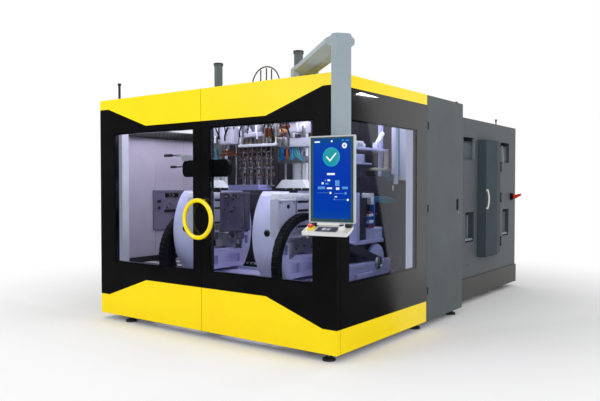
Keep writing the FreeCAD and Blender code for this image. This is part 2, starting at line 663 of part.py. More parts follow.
def clamp_chain():
    """Curved cable chain on the outer flank of the right clamp unit."""
    x0 = STATION + CLAMP_WIDTH / 2 + 12
    centre_y, centre_z = PARTING_Y - 100, 760.0
    first, last = 82.0, 205.0
    inner, outer = CHAIN_RADIUS - CHAIN_HEIGHT / 2, CHAIN_RADIUS + CHAIN_HEIGHT / 2
    step = (last - first) / CHAIN_LINKS

    def at(radius, degrees):
        angle = math.radians(degrees)
        return (x0, centre_y + radius * math.cos(angle), centre_z + radius * math.sin(angle))
    outline = []
    for n in range(CHAIN_LINKS):
        a, b = first + n * step, first + (n + 1) * step
        outline += [at(outer, a + 0.06 * step), at(outer, b - 0.16 * step),
                    at(outer - 9, b - 0.10 * step), at(outer - 9, b)]
    for n in range(CHAIN_LINKS, -1, -2):
        outline.append(at(inner, first + n * step))
    chain = prism(outline, (CHAIN_WIDTH, 0, 0))
    mounts = []
    for degrees, reach in ((124.0, 22.0), (150.0, 80.0)):
        _, y, z = at(CHAIN_RADIUS, degrees)
        mounts.append(block(x0 - 12, x0 + 4, y - 22, y + reach, z - 22, z + 22))
    return fuse([chain] + mounts)


# ---------------------------------------------------------------- blow units
PIN_PLACES = [STATION + (n - (CAVITIES - 1) / 2) * CAVITY_PITCH for n in range(CAVITIES)]
MAST_HALF = 90.0
MAST_BOTTOM = GUIDE_Z
MAST_RAIL = 14.0


def blow_mast():
    """Vertical plate with two rails under the lift tube that stands through the roof."""
    plate = block(STATION - MAST_HALF, STATION + MAST_HALF, 0, MAST_BACK, MAST_BOTTOM, RING_BEAM_TOP)
    bracket = block(STATION - MAST_HALF, STATION + MAST_HALF, MAST_BACK, MAST_BEAM_Y,
                    RING_BEAM_BOTTOM, RING_BEAM_TOP)
    rails = [block(STATION + dx - 10, STATION + dx + 10, -MAST_RAIL, 0, 1600, 2280) for dx in (-55, 55)]
    tube = cylinder(TUBE_RADIUS, (STATION, TUBE_Y, 2300), (STATION, TUBE_Y, TUBE_TOP - 30))
    cap = cylinder(TUBE_RADIUS + 8, (STATION, TUBE_Y, TUBE_TOP - 30), (STATION, TUBE_Y, TUBE_TOP))
    collar = cylinder(TUBE_RADIUS + 14, (STATION, TUBE_Y, RING_BEAM_TOP + ROOF_SHEET),
                      (STATION, TUBE_Y, RING_BEAM_TOP + ROOF_SHEET + 12))
    motor = cylinder(38, (STATION, 70, 2120), (STATION, 70, 2300))
    seat = block(STATION - 60, STATION + 60, MAST_BACK, 112, 2300, RING_BEAM_BOTTOM)
    return fuse([plate, bracket, tube, cap, collar, motor, seat] + rails)


def guide_block():
    """White tapered block that guides the blow pins above the mould."""
    y0, y1 = PARTING_Y - 50, PARTING_Y + 50
    low, high = GUIDE_Z, GUIDE_Z + GUIDE_HEIGHT
    outline = [(STATION - 205, y0, low), (STATION + 205, y0, low), (STATION + 150, y0, high),
               (STATION - 115, y0, high)]
    guide = prism(outline, (0, y1 - y0, 0))
    arm = block(STATION - MAST_HALF, STATION + MAST_HALF, y1, 0, low, low + 40)
    guide = fuse([guide, arm])
    for x in PIN_PLACES:
        guide = guide.cut(cylinder(PIN_RADIUS + 3, (x, PARTING_Y, low - 1), (x, PARTING_Y, high + 1)))
    return guide


def blow_slide():
    """Slide on the mast's rails with the crosshead that carries the blow pins."""
    y0, y1 = PARTING_Y - 50, PARTING_Y + 50
    z0 = CROSSHEAD_Z
    head = block(STATION - 175, STATION + 175, y0, y1, z0, z0 + CROSSHEAD_HEIGHT)
    plate = block(STATION - 90, STATION + 90, y1, -MAST_RAIL - SEAT, z0, z0 + 260)
    shoes = []
    for dx in (-55, 55):
        for z in (z0 + 20, z0 + 180):
            shoe = block(STATION + dx - 22, STATION + dx + 22, -MAST_RAIL - SEAT, -SEAT, z, z + 60)
            x = STATION + dx
            slot = block(x - 10 - SEAT, x + 10 + SEAT, -MAST_RAIL - SEAT, 0, z - 1, z + 61)
            shoes.append(shoe.cut(slot))
    blocks = [block(STATION - 150, STATION + 150, y0 + 12, y1, z0 + 150, z0 + 225),
              block(STATION - 110, STATION - 60, y0 + 30, y1, z0 + 225, z0 + 330),
              block(STATION + 40, STATION + 120, y0 + 20, y1, z0 + 225, z0 + 300)]
    fittings = []
    for x in PIN_PLACES:
        fittings.append(cylinder(16, (x, PARTING_Y, z0 + CROSSHEAD_HEIGHT), (x, PARTING_Y, z0 + 110)))
        fittings.append(cylinder(10, (x, PARTING_Y, z0 + 110), (x, PARTING_Y, z0 + 150)))
    return fuse([head, plate] + shoes + blocks + fittings)


def blow_pins():
    """Blow pins with their stepped tips; they hang in the crosshead."""
    pins = []
    for x in PIN_PLACES:
        y, shank_z = PARTING_Y, PIN_TIP_Z + 40
        shank = cylinder(PIN_RADIUS, (x, y, shank_z), (x, y, CROSSHEAD_Z))
        tip = cone(PIN_RADIUS - 4, PIN_RADIUS, (x, y, PIN_TIP_Z), (x, y, shank_z))
        nut = cylinder(PIN_RADIUS + 7, (x, y, CROSSHEAD_Z - 14), (x, y, CROSSHEAD_Z))
        pins.append(fuse([shank, tip, nut]))
    return pins


# ---------------------------------------------------------------- head and extruder
DIE_PLACES = [(n - (CAVITIES - 1) / 2) * CAVITY_PITCH for n in range(CAVITIES)]
HEAD_BACK = PARTING_Y + HEAD_DEPTH / 2
ROD_X = (-160.0, -53.0, 53.0, 160.0)
ROD_Y = (PARTING_Y - 75.0, PARTING_Y + 75.0)


def extrusion_head():
    """Manifold block with three hanging die heads."""
    front = PARTING_Y - HEAD_DEPTH / 2
    body = block(-HEAD_HALF, HEAD_HALF, front, HEAD_BACK, HEAD_BOTTOM, HEAD_TOP)
    body = body.makeChamfer(12, [e for e in body.Edges if abs(e.tangentAt(0).z) > 0.9])
    dies = []
    for x in DIE_PLACES:
        y, sleeve_z = PARTING_Y, DIE_BOTTOM + 60
        dies.append(cylinder(DIE_RADIUS, (x, y, sleeve_z), (x, y, HEAD_BOTTOM)))
        dies.append(cone(DIE_RADIUS - 15, DIE_RADIUS, (x, y, DIE_BOTTOM), (x, y, sleeve_z)))
    flange = cylinder(BARREL_RADIUS + 25, (0, HEAD_BACK, BARREL_Z), (0, HEAD_BACK + 40, BARREL_Z))
    head = fuse([body] + dies + [flange])
    for x in DIE_PLACES:
        head = head.cut(cylinder(14, (x, PARTING_Y, DIE_BOTTOM - 1), (x, PARTING_Y, DIE_BOTTOM + 50)))
    for x in ROD_X:
        for y in ROD_Y:
            head = head.cut(cylinder(ROD_RADIUS, (x, y, HEAD_BOTTOM), (x, y, HEAD_BOTTOM + 40)))
    return head


def band(x, y, z, radius, inner, axis, length):
    """Heater band: a ring on a die or on the barrel."""
    way = V(*axis) * length
    end = (x + way.x, y + way.y, z + way.z)
    return cylinder(radius, (x, y, z), end).cut(cylinder(inner, (x, y, z), end))


def heater_bands():
    bands = []
    for x in DIE_PLACES:
        for z in (DIE_BOTTOM + 66, DIE_BOTTOM + 122):
            bands.append(band(x, PARTING_Y, z, DIE_RADIUS + 6, DIE_RADIUS, (0, 0, 1), 50))
    for n in range(8):
        y = HEAD_BACK + 130 + n * 265
        bands.append(band(0, y, BARREL_Z, BARREL_RADIUS + 10, BARREL_RADIUS, (0, 1, 0), 200))
    return bands


def head_rods():
    """Eight rods under the head."""
    return [cylinder(ROD_RADIUS, (x, y, ROD_BOTTOM), (x, y, HEAD_BOTTOM + 40)) for x in ROD_X for y in ROD_Y]


def product_tray():
    """Guide plate on the rods' ends with the shallow tray in front of it."""
    y0, y1 = ROD_Y[0] - 35, ROD_Y[1] + 35
    plate = block(-HEAD_HALF + 35, HEAD_HALF - 35, y0, y1, ROD_BOTTOM - 20, ROD_BOTTOM)
    for x in DIE_PLACES:
        plate = plate.cut(cylinder(40, (x, PARTING_Y, ROD_BOTTOM - 21), (x, PARTING_Y, ROD_BOTTOM + 1)))
    tray_y = y0 - 190
    left, right = -130.0, 350.0
    low, high = ROD_BOTTOM - 22, ROD_BOTTOM + 30

    def tray_solid(inset, bottom):
        a, b, c, d = left + inset, right - inset, tray_y + inset, y0 - inset
        r = (d - c) / 2
        edges = [((a + r, c, bottom), (b, c, bottom)), ((b, c, bottom), (b, d, bottom)),
                 ((b, d, bottom), (a + r, d, bottom)),
                 ((a + r, d, bottom), (a, c + r, bottom), (a + r, c, bottom))]
        return profile(edges, (0, 0, high - bottom))
    tray = tray_solid(0, low).cut(tray_solid(4, low + 4))
    return fuse([plate, tray])


def extruder_barrel():
    """Barrel from the head to the gearbox, bored for the screw, with its feed throat."""
    start, end = HEAD_BACK + 40, BARREL_END
    barrel = cylinder(BARREL_RADIUS, (0, start, BARREL_Z), (0, end, BARREL_Z))
    flange = cylinder(BARREL_RADIUS + 25, (0, start, BARREL_Z), (0, start + 40, BARREL_Z))
    throat = block(-110, 110, end - 260, end, BARREL_Z - 110, BARREL_Z + 110)
    barrel = fuse([barrel, flange, throat])
    bore = cylinder(SCREW_RADIUS + RUNNING_FIT, (0, start + 20, BARREL_Z), (0, end + 1, BARREL_Z))
    barrel = barrel.cut(bore)
    return barrel.cut(block(-35, 35, end - 190, end - 90, BARREL_Z + 30, BARREL_Z + 120))


def extruder_screw():
    """Screw with a plain core, a helical flight and a pointed tip."""
    start, end = HEAD_BACK + 80, BARREL_END
    core = cylinder(SCREW_RADIUS - 9, (0, start + 60, BARREL_Z), (0, end - 60, BARREL_Z))
    tip = cone(4, SCREW_RADIUS - 9, (0, start, BARREL_Z), (0, start + 60, BARREL_Z))
    shank = cylinder(SCREW_RADIUS, (0, end - 60, BARREL_Z), (0, end + 80, BARREL_Z))
    return fuse([core, tip, shank])


def feed_hopper():
    """Square funnel over the feed throat."""
    y = BARREL_END - 140
    low, high = BARREL_Z + 110, REAR_TOP - SHEET - 35

    def funnel(inset):
        outlines = []
        for half, z in ((60 - inset, low), (60 - inset, low + 25), (150 - inset, high)):
            corners = [V(-half, y - half, z), V(half, y - half, z),
                       V(half, y + half, z), V(-half, y + half, z)]
            outlines.append(Part.makePolygon(corners + [corners[0]]))
        return Part.makeLoft(outlines, True, True)
    return funnel(0).cut(funnel(4))


def extruder_drive():
    """Gearbox and motor behind the barrel."""
    y0 = BARREL_END
    y1 = y0 + GEARBOX_LENGTH
    box = block(-230, 230, y0, y1, GEARBOX_BOTTOM, BARREL_Z + 190)
    box = box.makeChamfer(30, [e for e in box.Edges if abs(e.tangentAt(0).y) > 0.9])
    box = box.cut(cylinder(SCREW_RADIUS + RUNNING_FIT, (0, y0 - 1, BARREL_Z), (0, y0 + 82, BARREL_Z)))
    y2 = y1 + MOTOR_LENGTH
    motor = cylinder(MOTOR_RADIUS, (0, y1 + 30, BARREL_Z - 60), (0, y2, BARREL_Z - 60))
    neck = cylinder(MOTOR_RADIUS - 40, (0, y1, BARREL_Z - 60), (0, y1 + 30, BARREL_Z - 60))
    feet = [block(dx - 30, dx + 30, y1 + 120, y2 - 40, GEARBOX_BOTTOM, BARREL_Z - 150) for dx in (-110, 110)]
    return box, fuse([motor, neck] + feet)


# ---------------------------------------------------------------- behind the clamps
SCRAP_X = (-900.0, -300.0)
SCRAP_Y = (HALF_DEPTH - 430.0, HALF_DEPTH - 80.0)
SCRAP_TOP = FLOOR_TOP + 375.0
PRESS_HEIGHT = 511.0


def trim_press():
    """Dark press body with its ram head, on the scrap box."""
    x0, x1 = SCRAP_X[0] - 30, SCRAP_X[1] + 30
    y0, y1 = SCRAP_Y
    low, high = SCRAP_TOP, SCRAP_TOP + PRESS_HEIGHT
    parts = [block(x0, x1, y0 + 120, y1, low, high),
             block(x0 + 60, x1 - 60, y0, y0 + 120, high - 236, high - 46),
             block(x0 + 60, x1 - 60, y0, y0 + 120, low, low + 65)]
    for x in (x0 + 130, x1 - 130):
        parts.append(cylinder(26, (x, y0 + 60, low + 65), (x, y0 + 60, high - 236)))
    return fuse(parts)


def scrap_box():
    """Grey sheet box with a sloping front, open to its rear."""
    (x0, x1), (y0, y1) = SCRAP_X, SCRAP_Y
    outline = [(x0, y0 + 40, FLOOR_TOP), (x0, y1, FLOOR_TOP), (x0, y1, SCRAP_TOP), (x0, y0, SCRAP_TOP),
               (x0, y0, FLOOR_TOP + 100)]
    box = prism(outline, (x1 - x0, 0, 0))
    return box.cut(block(x0 + 5, x1 - 5, y0 + 60, y1 + 1, FLOOR_TOP + 5, SCRAP_TOP - 75))


def hose_loops():
    """Hoop of rigid conduit over the roof with three short risers inside it."""
    top, r, tube = RING_BEAM_TOP + ROOF_SHEET, 200.0, 7.5
    x0, y, centre = -45.0, 200.0, 2702.0

    def swept(edges):
        path = Part.Wire(edges)
        start = edges[0].valueAt(edges[0].FirstParameter)
        circle = Part.Wire(Part.makeCircle(tube, start, V(0, 0, 1)))
        return path.makePipeShell([circle], True, False)
    left, right = x0 - r, x0 + r
    legs = [Part.makeLine(V(left, y, top), V(left, y, centre)),
            Part.Arc(V(left, y, centre), V(x0, y, centre + r), V(right, y, centre)).toShape(),
            Part.makeLine(V(right, y, centre), V(right, y, top))]
    hoops = [swept(legs)]
    for x in (-75.0, 10.0, 85.0):
        peak = centre + math.sqrt(r * r - x * x) - 2 * tube - 1
        hoops.append(cylinder(tube, (x0 + x, y, top), (x0 + x, y, peak)))
        hoops.append(cylinder(tube + 7, (x0 + x, y, top + 150), (x0 + x, y, top + 215)))
    return [hoops[0]] + [fuse(hoops[n:n + 2]) for n in (1, 3, 5)]


# ---------------------------------------------------------------- grey modules
HINGE_PIN = 5.0
HINGE_FIT = 0.06
KNUCKLE = 11.0
LEAF_X = HALF_WIDTH - LEAF
TALL_WALL_X = LEAF_X - LEAF_GAP
LEAF_AXIS = (HALF_WIDTH - LEAF / 2, HALF_DEPTH + LEAF_GAP + LEAF / 2)
LEAF_HINGES = (PANEL_BOTTOM + 330.0, (PANEL_BOTTOM + PANEL_TOP) / 2, PANEL_TOP - 330.0)
HANDLE_Y = TALL_END - 149.0
PASS_HALF = 180.0


def sheet_box(x0, x1, y0, y1, z0, z1):
    """Left, right, front, rear and top sheets that meet at their edges, open below."""
    left, right = block(x0, x0 + SHEET, y0, y1, z0, z1), block(x1 - SHEET, x1, y0, y1, z0, z1)
    a, b = x0 + SHEET, x1 - SHEET
    top = block(a, b, y0, y1, z1 - SHEET, z1)
    front = block(a, b, y0, y0 + SHEET, z0, z1 - SHEET)
    return left, right, front, moved(front, 0, y1 - y0 - SHEET), top


def tall_shell():
    """Sheets of the tall module, open to its hinged door on the right."""
    x0, x1 = -HALF_WIDTH, TALL_WALL_X
    y0, y1 = HALF_DEPTH, TALL_END
    left, right, front, rear, top = sheet_box(x0, x1, y0, y1, PANEL_BOTTOM, PANEL_TOP)
    right = right.cut(block(x1 - SHEET - 1, x1 + 1, y0 + 50, y1 - 50, PANEL_BOTTOM + 180, PANEL_TOP - 50))
    ax, ay = LEAF_AXIS
    for z in LEAF_HINGES:
        arm = block(x1 - SHEET, ax, ay - 6, ay + 6, z - 38, z + 38)
        right = fuse([right, hinge_knuckle(ax, ay, z, arm)])
    way = block(-PASS_HALF, PASS_HALF, y0 - 1, y1 + 1, BARREL_Z - PASS_HALF, BARREL_Z + PASS_HALF)
    low, high = PANEL_BOTTOM - 1, FRAME_TOP + 10
    front = front.cut(way).cut(block(-SIDE_PANEL_BACK, SIDE_PANEL_BACK, y0 - 1, y0 + SHEET + 1, low, high))
    beams = REAR_FOOT_X + BEAM
    rear = rear.cut(way).cut(block(-beams, beams, y1 - SHEET - 1, y1 + 1, low, high))
    bump = block(x1 - 70, x1 - 20, y1 - 60, y1 - 20, PANEL_TOP, PANEL_TOP + 26)
    return left, right, front, rear, fuse([top, bump])


def hinge_knuckle(x, y, z, arm):
    """Fixed barrel of a hinge with its arm, bored for the pin."""
    barrel = cylinder(KNUCKLE, (x, y, z - 38), (x, y, z + 38))
    return fuse([barrel, arm]).cut(cylinder(HINGE_PIN + HINGE_FIT, (x, y, z - 39), (x, y, z + 39)))


def tall_door():
    """Full-height leaf with a rounded hinge edge, hinge pins and a flush slot handle."""
    ax, ay = LEAF_AXIS
    z0, z1 = PANEL_BOTTOM + 4, PANEL_TOP - 2
    leaf = block(LEAF_X, HALF_WIDTH, ay, TALL_END - 2, z0, z1)
    edge = cylinder(LEAF / 2, (ax, ay, z0), (ax, ay, z1))
    leaf = fuse([leaf, edge])
    leaf = leaf.cut(block(LEAF_X - 1, HALF_WIDTH - SHEET, ay + 40, TALL_END - 2 - SHEET,
                          z0 + SHEET, z1 - SHEET))
    for z in LEAF_HINGES:
        leaf = leaf.cut(block(LEAF_X - 1, HALF_WIDTH + 1, ay - LEAF / 2 - 1, ay + 32, z - 39, z + 39))
        leaf = fuse([leaf, cylinder(HINGE_PIN, (ax, ay, z - 40), (ax, ay, z + 40))])
    slot = block(HALF_WIDTH - 20, HALF_WIDTH + 1, HANDLE_Y - 31, HANDLE_Y + 31, 1257, 1384)
    back = block(HALF_WIDTH - 26, HALF_WIDTH, HANDLE_Y - 37, HANDLE_Y + 37, 1251, 1390)
    grip = block(HALF_WIDTH - 20, HALF_WIDTH - 8, HANDLE_Y + 9, HANDLE_Y + 31, 1257, 1384)
    lock = cylinder(11, (HALF_WIDTH - 8, HANDLE_Y + 18, 1225), (HALF_WIDTH + 3, HANDLE_Y + 18, 1225))
    return fuse([fuse([leaf, back]).cut(slot), grip, lock])


def switch_gear():
    """Mounting plate with rows of switch gear, fixed between the module's walls."""
    x = TALL_WALL_X - 256
    y0, y1 = HALF_DEPTH + SHEET, TALL_END - SHEET
    parts = [block(x - 4, x, y0, y1, PANEL_BOTTOM + 230, PANEL_TOP - 120)]
    rows = ((2150, 180, 5, 110), (1850, 120, 9, 90), (1500, 200, 4, 150),
            (1150, 120, 9, 90), (650, 300, 3, 180))
    for z, height, count, depth in rows:
        pitch = (y1 - y0 - 80) / count
        for n in range(count):
            y = y0 + 40 + n * pitch
            parts.append(block(x, x + depth, y + 6, y + pitch - 6, z, z + height))
        parts.append(block(x, x + 50, y0 + 30, y1 - 30, z - 90, z - 40))
    return fuse(parts)


# near edge, far edge, bottom, top, depth at the bottom, depth at the top
UPPER = (BAY_TOP - 280.0, BAY_TOP + 10.0, 60.0, SCOOP_DEPTH)
LOWER = (BAY_BOTTOM + 225.0, BAY_BOTTOM + 617.0, SCOOP_DEPTH, 90.0)
SCOOPS = ((BAY_NEAR - 502.0, BAY_NEAR - 120.0) + UPPER, (BAY_FAR + 2.0, BAY_FAR + 385.0) + UPPER,
          (BAY_NEAR - 430.0, BAY_NEAR - 135.0) + LOWER, (BAY_FAR + 115.0, BAY_FAR + 380.0) + LOWER)


def scoop(near, far, low, high, deep_low, deep_high, wall):
    """Wedge-shaped air pocket, enlarged by a wall on its inner sides."""
    x = REAR_HALF + (1 if wall == 0 else 0)
    outline = [(x, near - wall, low - wall), (REAR_HALF - deep_low - wall, near - wall, low - wall),
               (REAR_HALF - deep_high - wall, near - wall, high + wall), (x, near - wall, high + wall)]
    return prism(outline, (0, far - near + 2 * wall, 0))


def bay_knuckle(x, z):
    """Fixed barrel of a bay hinge on its short arm."""
    ax, ay = BAY_AXIS
    return hinge_knuckle(ax, ay, z, block(x - 2, x + 4, ay, ay + 42, z - 38, z + 38))


def rear_shell():
    """Sheets of the rear module, with four air pockets and the bay opening on the right."""
    x, y0, y1 = REAR_HALF, TALL_END, REAR_END
    left, right, front, rear, top = sheet_box(-x, x, y0, y1, PLINTH_TOP, REAR_TOP)
    right = right.cut(block(x - SHEET - 1, x + 1, BAY_NEAR + 20, BAY_FAR - 20, BAY_BOTTOM + 20, BAY_TOP - 20))
    pockets = [scoop(*place, 4.0) for place in SCOOPS]
    right = fuse([right] + pockets + [bay_knuckle(x, z) for z in BAY_HINGES])
    for place in SCOOPS:
        right = right.cut(scoop(*place, 0.0))
    right = right.cut(block(x - 3, x + 1, BAY_NEAR - 530, BAY_NEAR - 300, BAY_BOTTOM - 76, BAY_BOTTOM - 56))
    low, high = BARREL_Z - PASS_HALF, BARREL_Z + PASS_HALF
    front = front.cut(block(-PASS_HALF, PASS_HALF, y0 - 1, y0 + SHEET + 1, low, high))
    eye_x, eye_y = x - 60, BAY_FAR - 20
    eye = fuse([cylinder(9, (eye_x, eye_y, REAR_TOP), (eye_x, eye_y, REAR_TOP + 60)),
                cylinder(19, (eye_x, eye_y, REAR_TOP), (eye_x, eye_y, REAR_TOP + 8)),
                cylinder(15, (eye_x, eye_y, REAR_TOP + 58), (eye_x, eye_y, REAR_TOP + 88))])
    return left, right, front, rear, top, eye


def rear_plinth():
    """Plinth that stands a little proud of the rear shell; it is open to the front."""
    x, y1 = PLINTH_HALF, REAR_END + PLINTH_PROUD
    ring = block(-x, x, TALL_END, y1, PANEL_BOTTOM, PLINTH_TOP)
    return ring.cut(block(-x + PLINTH_WALL, x - PLINTH_WALL, TALL_END - 1, y1 - PLINTH_WALL,
                          PANEL_BOTTOM - 1, PLINTH_TOP + 1))


BAY_AXIS = (REAR_HALF + 13.0, BAY_FAR + 12.0)
BAY_HINGES = (BAY_BOTTOM + 160.0, (BAY_BOTTOM + BAY_TOP) / 2, BAY_TOP - 345.0)
BAY_FLAT_NEAR = BAY_NEAR + 46.0
BAY_FLAT_FAR = BAY_NEAR + 475.0


def bay_outline(inset, z):
    x0, x1 = REAR_HALF + 2.0, REAR_HALF + BAY_PROUD - inset
    return [(x0, BAY_NEAR + inset, z), (x0 + 4, BAY_NEAR + inset, z), (x1, BAY_FLAT_NEAR + inset / 2, z),
            (x1, BAY_FLAT_FAR, z), (x0 + 4, BAY_FAR - inset, z), (x0, BAY_FAR - inset, z)]


def bay_door():
    """Folded door that stands out from the rear shell, hinged at its far edge."""
    skin = prism(bay_outline(0.0, BAY_BOTTOM), (0, 0, BAY_TOP - BAY_BOTTOM))
    hollow = prism(bay_outline(5.0, BAY_BOTTOM + 5), (0, 0, BAY_TOP - BAY_BOTTOM - 10))
    opening = block(REAR_HALF, REAR_HALF + 8, BAY_NEAR + 30, BAY_FAR - 30, BAY_BOTTOM + 30, BAY_TOP - 30)
    hollow = hollow.cut(block(REAR_HALF, REAR_HALF + 6, 0, REAR_END, 0, REAR_TOP))
    door = skin.cut(hollow).cut(opening)
    ax, ay = BAY_AXIS
    for z in BAY_HINGES:
        parts = [door, cylinder(HINGE_PIN, (ax, ay, z - 60), (ax, ay, z + 60))]
        for low in (z - 70, z + 39):
            parts.append(cylinder(KNUCKLE, (ax, ay, low), (ax, ay, low + 31)))
            parts.append(block(REAR_HALF + 2, REAR_HALF + 6, ay - 40, ay, low, low + 31))
        door = fuse(parts)
    return door


def bay_handle():
    """White bow handle on the flat of the bay door."""
    x, y = REAR_HALF + BAY_PROUD, BAY_FLAT_NEAR + 14
    low, high, bow, bar = 1232.0, 1482.0, 20.0, 11.0
    half, mid = (high - low) / 2, (low + high) / 2
    radius = (half ** 2 + bow ** 2) / (2 * bow)
    swing = math.degrees(math.asin(half / radius))
    ring = Part.Face(Part.Wire(Part.makeCircle(bar, V(x + 14 + bow, y, mid), V(0, 0, 1))))
    axis = V(x + 14 + bow - radius, y, mid)
    ring.rotate(axis, V(0, 1, 0), -swing)
    grip = ring.revolve(axis, V(0, 1, 0), 2 * swing)
    feet = [cylinder(bar + 2, (x, y, z), (x + 20, y, z)) for z in (low + 4, high - 4)]
    return fuse([grip] + feet)


SWITCH_Y = BAY_FAR + 495.0
SWITCH_Z = 1373.0


def main_switch():
    """Black base plate with a round boss, and the red lever with its dark hub."""
    x = REAR_HALF
    base = fuse([block(x, x + 24, SWITCH_Y - 50, SWITCH_Y + 50, SWITCH_Z - 50, SWITCH_Z + 50),
                 cylinder(36, (x + 24, SWITCH_Y, SWITCH_Z), (x + 40, SWITCH_Y, SWITCH_Z))])
    base = base.cut(cylinder(10 + HINGE_FIT, (x + 20, SWITCH_Y, SWITCH_Z), (x + 41, SWITCH_Y, SWITCH_Z)))
    hub_end = x + 40.5
    hub = cylinder(32, (hub_end, SWITCH_Y, SWITCH_Z), (hub_end + 24, SWITCH_Y, SWITCH_Z))
    pin = cylinder(10, (x + 22, SWITCH_Y, SWITCH_Z), (hub_end, SWITCH_Y, SWITCH_Z))
    outline = [(hub_end + 4, SWITCH_Y - 13, SWITCH_Z - 24), (hub_end + 34, SWITCH_Y - 13, SWITCH_Z - 24),
               (hub_end + 112, SWITCH_Y - 13, SWITCH_Z + 22), (hub_end + 104, SWITCH_Y - 13, SWITCH_Z + 48),
               (hub_end + 4, SWITCH_Y - 13, SWITCH_Z + 22)]
    grip = prism(outline, (0, 26, 0))
    return base, fuse([hub, pin, grip])


# ---------------------------------------------------------------- operator arm and panel
ARM_BOTTOM = ARM_TOP - ARM_HEIGHT
ARM_SEAT = ARM_BOTTOM - SEAT
ARM_WAY = (math.cos(math.radians(ARM_ANGLE)), math.sin(math.radians(ARM_ANGLE)))
PANEL_X = ARM_X + ARM_LENGTH * ARM_WAY[0]
PANEL_Y = ARM_Y + ARM_LENGTH * ARM_WAY[1]
SPIGOT_RADIUS = 28.0
PIVOT_RADIUS = 40.0
PIVOT_HEIGHT = 70.0
LOW_BEVEL = 58.0            # height of the bevel along the arm's lower edges
COLUMN_CUT = 50.0           # corner cut of the column and of the elbow
SPIGOT_BOTTOM = POST_BOTTOM - 110.0


def octagon(half_a, half_b, cut, z):
    """Octagonal outline about the origin in a level plane."""
    a, b = half_a, half_b
    return [(a, -b + cut, z), (a, b - cut, z), (a - cut, b, z), (-a + cut, b, z),
            (-a, b - cut, z), (-a, -b + cut, z), (-a + cut, -b, z), (a - cut, -b, z)]


def placed(shape, x, y, degrees):
    """Move a piece built about the origin to its place in plan."""
    return moved(turned(shape, (0, 0, 0), (0, 0, 1), degrees), x, y)


def arm_column():
    """Octagonal column on the roof with the pivot pin of the arm."""
    low = RING_BEAM_TOP + ROOF_SHEET
    half = COLUMN_WIDTH / 2
    column = prism(octagon(half, half, COLUMN_CUT, low + 14), (0, 0, ARM_SEAT - low - 14))
    foot = prism(octagon(half + 30, half + 30, COLUMN_CUT, low), (0, 0, 14))
    pin = cylinder(PIVOT_RADIUS, (0, 0, ARM_SEAT), (0, 0, ARM_SEAT + PIVOT_HEIGHT))
    return placed(fuse([column, foot, pin]), ARM_X, ARM_Y, ARM_ANGLE)


def arm_elbow():
    """Head of the arm over its column: an octagonal block with a bevelled rim."""
    half, rim = COLUMN_WIDTH / 2, ARM_TOP - CHAMFER
    lower = prism(octagon(half, half, COLUMN_CUT, ARM_BOTTOM), (0, 0, rim - ARM_BOTTOM))
    inner = half - CHAMFER
    rings = [octagon(half, half, COLUMN_CUT, rim), octagon(inner, inner, COLUMN_CUT, ARM_TOP)]
    wires = [Part.makePolygon([V(*p) for p in ring + ring[:1]]) for ring in rings]
    return fuse([lower, Part.makeLoft(wires, True, True)])


def arm_beam():
    """Beam of flat octagonal section with bevelled front corners."""
    half, end = ARM_WIDTH / 2, ARM_LENGTH + POST_DEPTH / 2
    low, high, side_low, side_high = ARM_BOTTOM, ARM_TOP, ARM_BOTTOM + LOW_BEVEL, ARM_TOP - CHAMFER
    section = [(0, -half, side_low), (0, -half, side_high), (0, -half + NOSE, high), (0, half - NOSE, high),
               (0, half, side_high), (0, half, side_low), (0, half - NOSE, low), (0, -half + NOSE, low)]
    beam = prism(section, (end, 0, 0))
    for side in (-1, 1):
        corner = [(end + 1, side * (half - NOSE - 1), low - 1), (end + 1, side * (half + 1), low - 1),
                  (end - NOSE - 1, side * (half + 1), low - 1)]
        beam = beam.cut(prism(corner, (0, 0, ARM_HEIGHT + 2)))
    return beam


def support_arm():
    """Beam with its elbow, the hanging post and the post's spigot, welded as one piece."""
    post = prism(octagon(POST_DEPTH / 2, POST_WIDTH / 2, CHAMFER, POST_BOTTOM), (0, 0, ARM_TOP - POST_BOTTOM))
    spigot = cylinder(SPIGOT_RADIUS, (ARM_LENGTH, 0, SPIGOT_BOTTOM), (ARM_LENGTH, 0, POST_BOTTOM))
    stop = cylinder(SPIGOT_RADIUS + 14, (ARM_LENGTH, 0, SPIGOT_BOTTOM - 12), (ARM_LENGTH, 0, SPIGOT_BOTTOM))
    arm = fuse([arm_elbow(), arm_beam(), moved(post, ARM_LENGTH), spigot, stop])
    top = ARM_BOTTOM + PIVOT_HEIGHT + 2
    arm = arm.cut(cylinder(PIVOT_RADIUS + HINGE_FIT, (0, 0, ARM_BOTTOM - 1), (0, 0, top)))
    return placed(arm, ARM_X, ARM_Y, ARM_ANGLE)


# the panel is built about the post's axis, with its screen facing -Y
MONITOR_BACK = -132.0
MONITOR_FRONT = MONITOR_BACK - MONITOR_DEPTH
MONITOR_TOP = MONITOR_BOTTOM + MONITOR_HEIGHT
SCREEN_SET = 3.0
SCREEN_THICK = 6.0


def panel_placed(shape):
    return placed(shape, PANEL_X, PANEL_Y, PANEL_TURN)


def screen_span():
    left = -SCREEN_WIDTH / 2
    low = MONITOR_BOTTOM + SCREEN_RISE
    return left, -left, low, low + SCREEN_HEIGHT


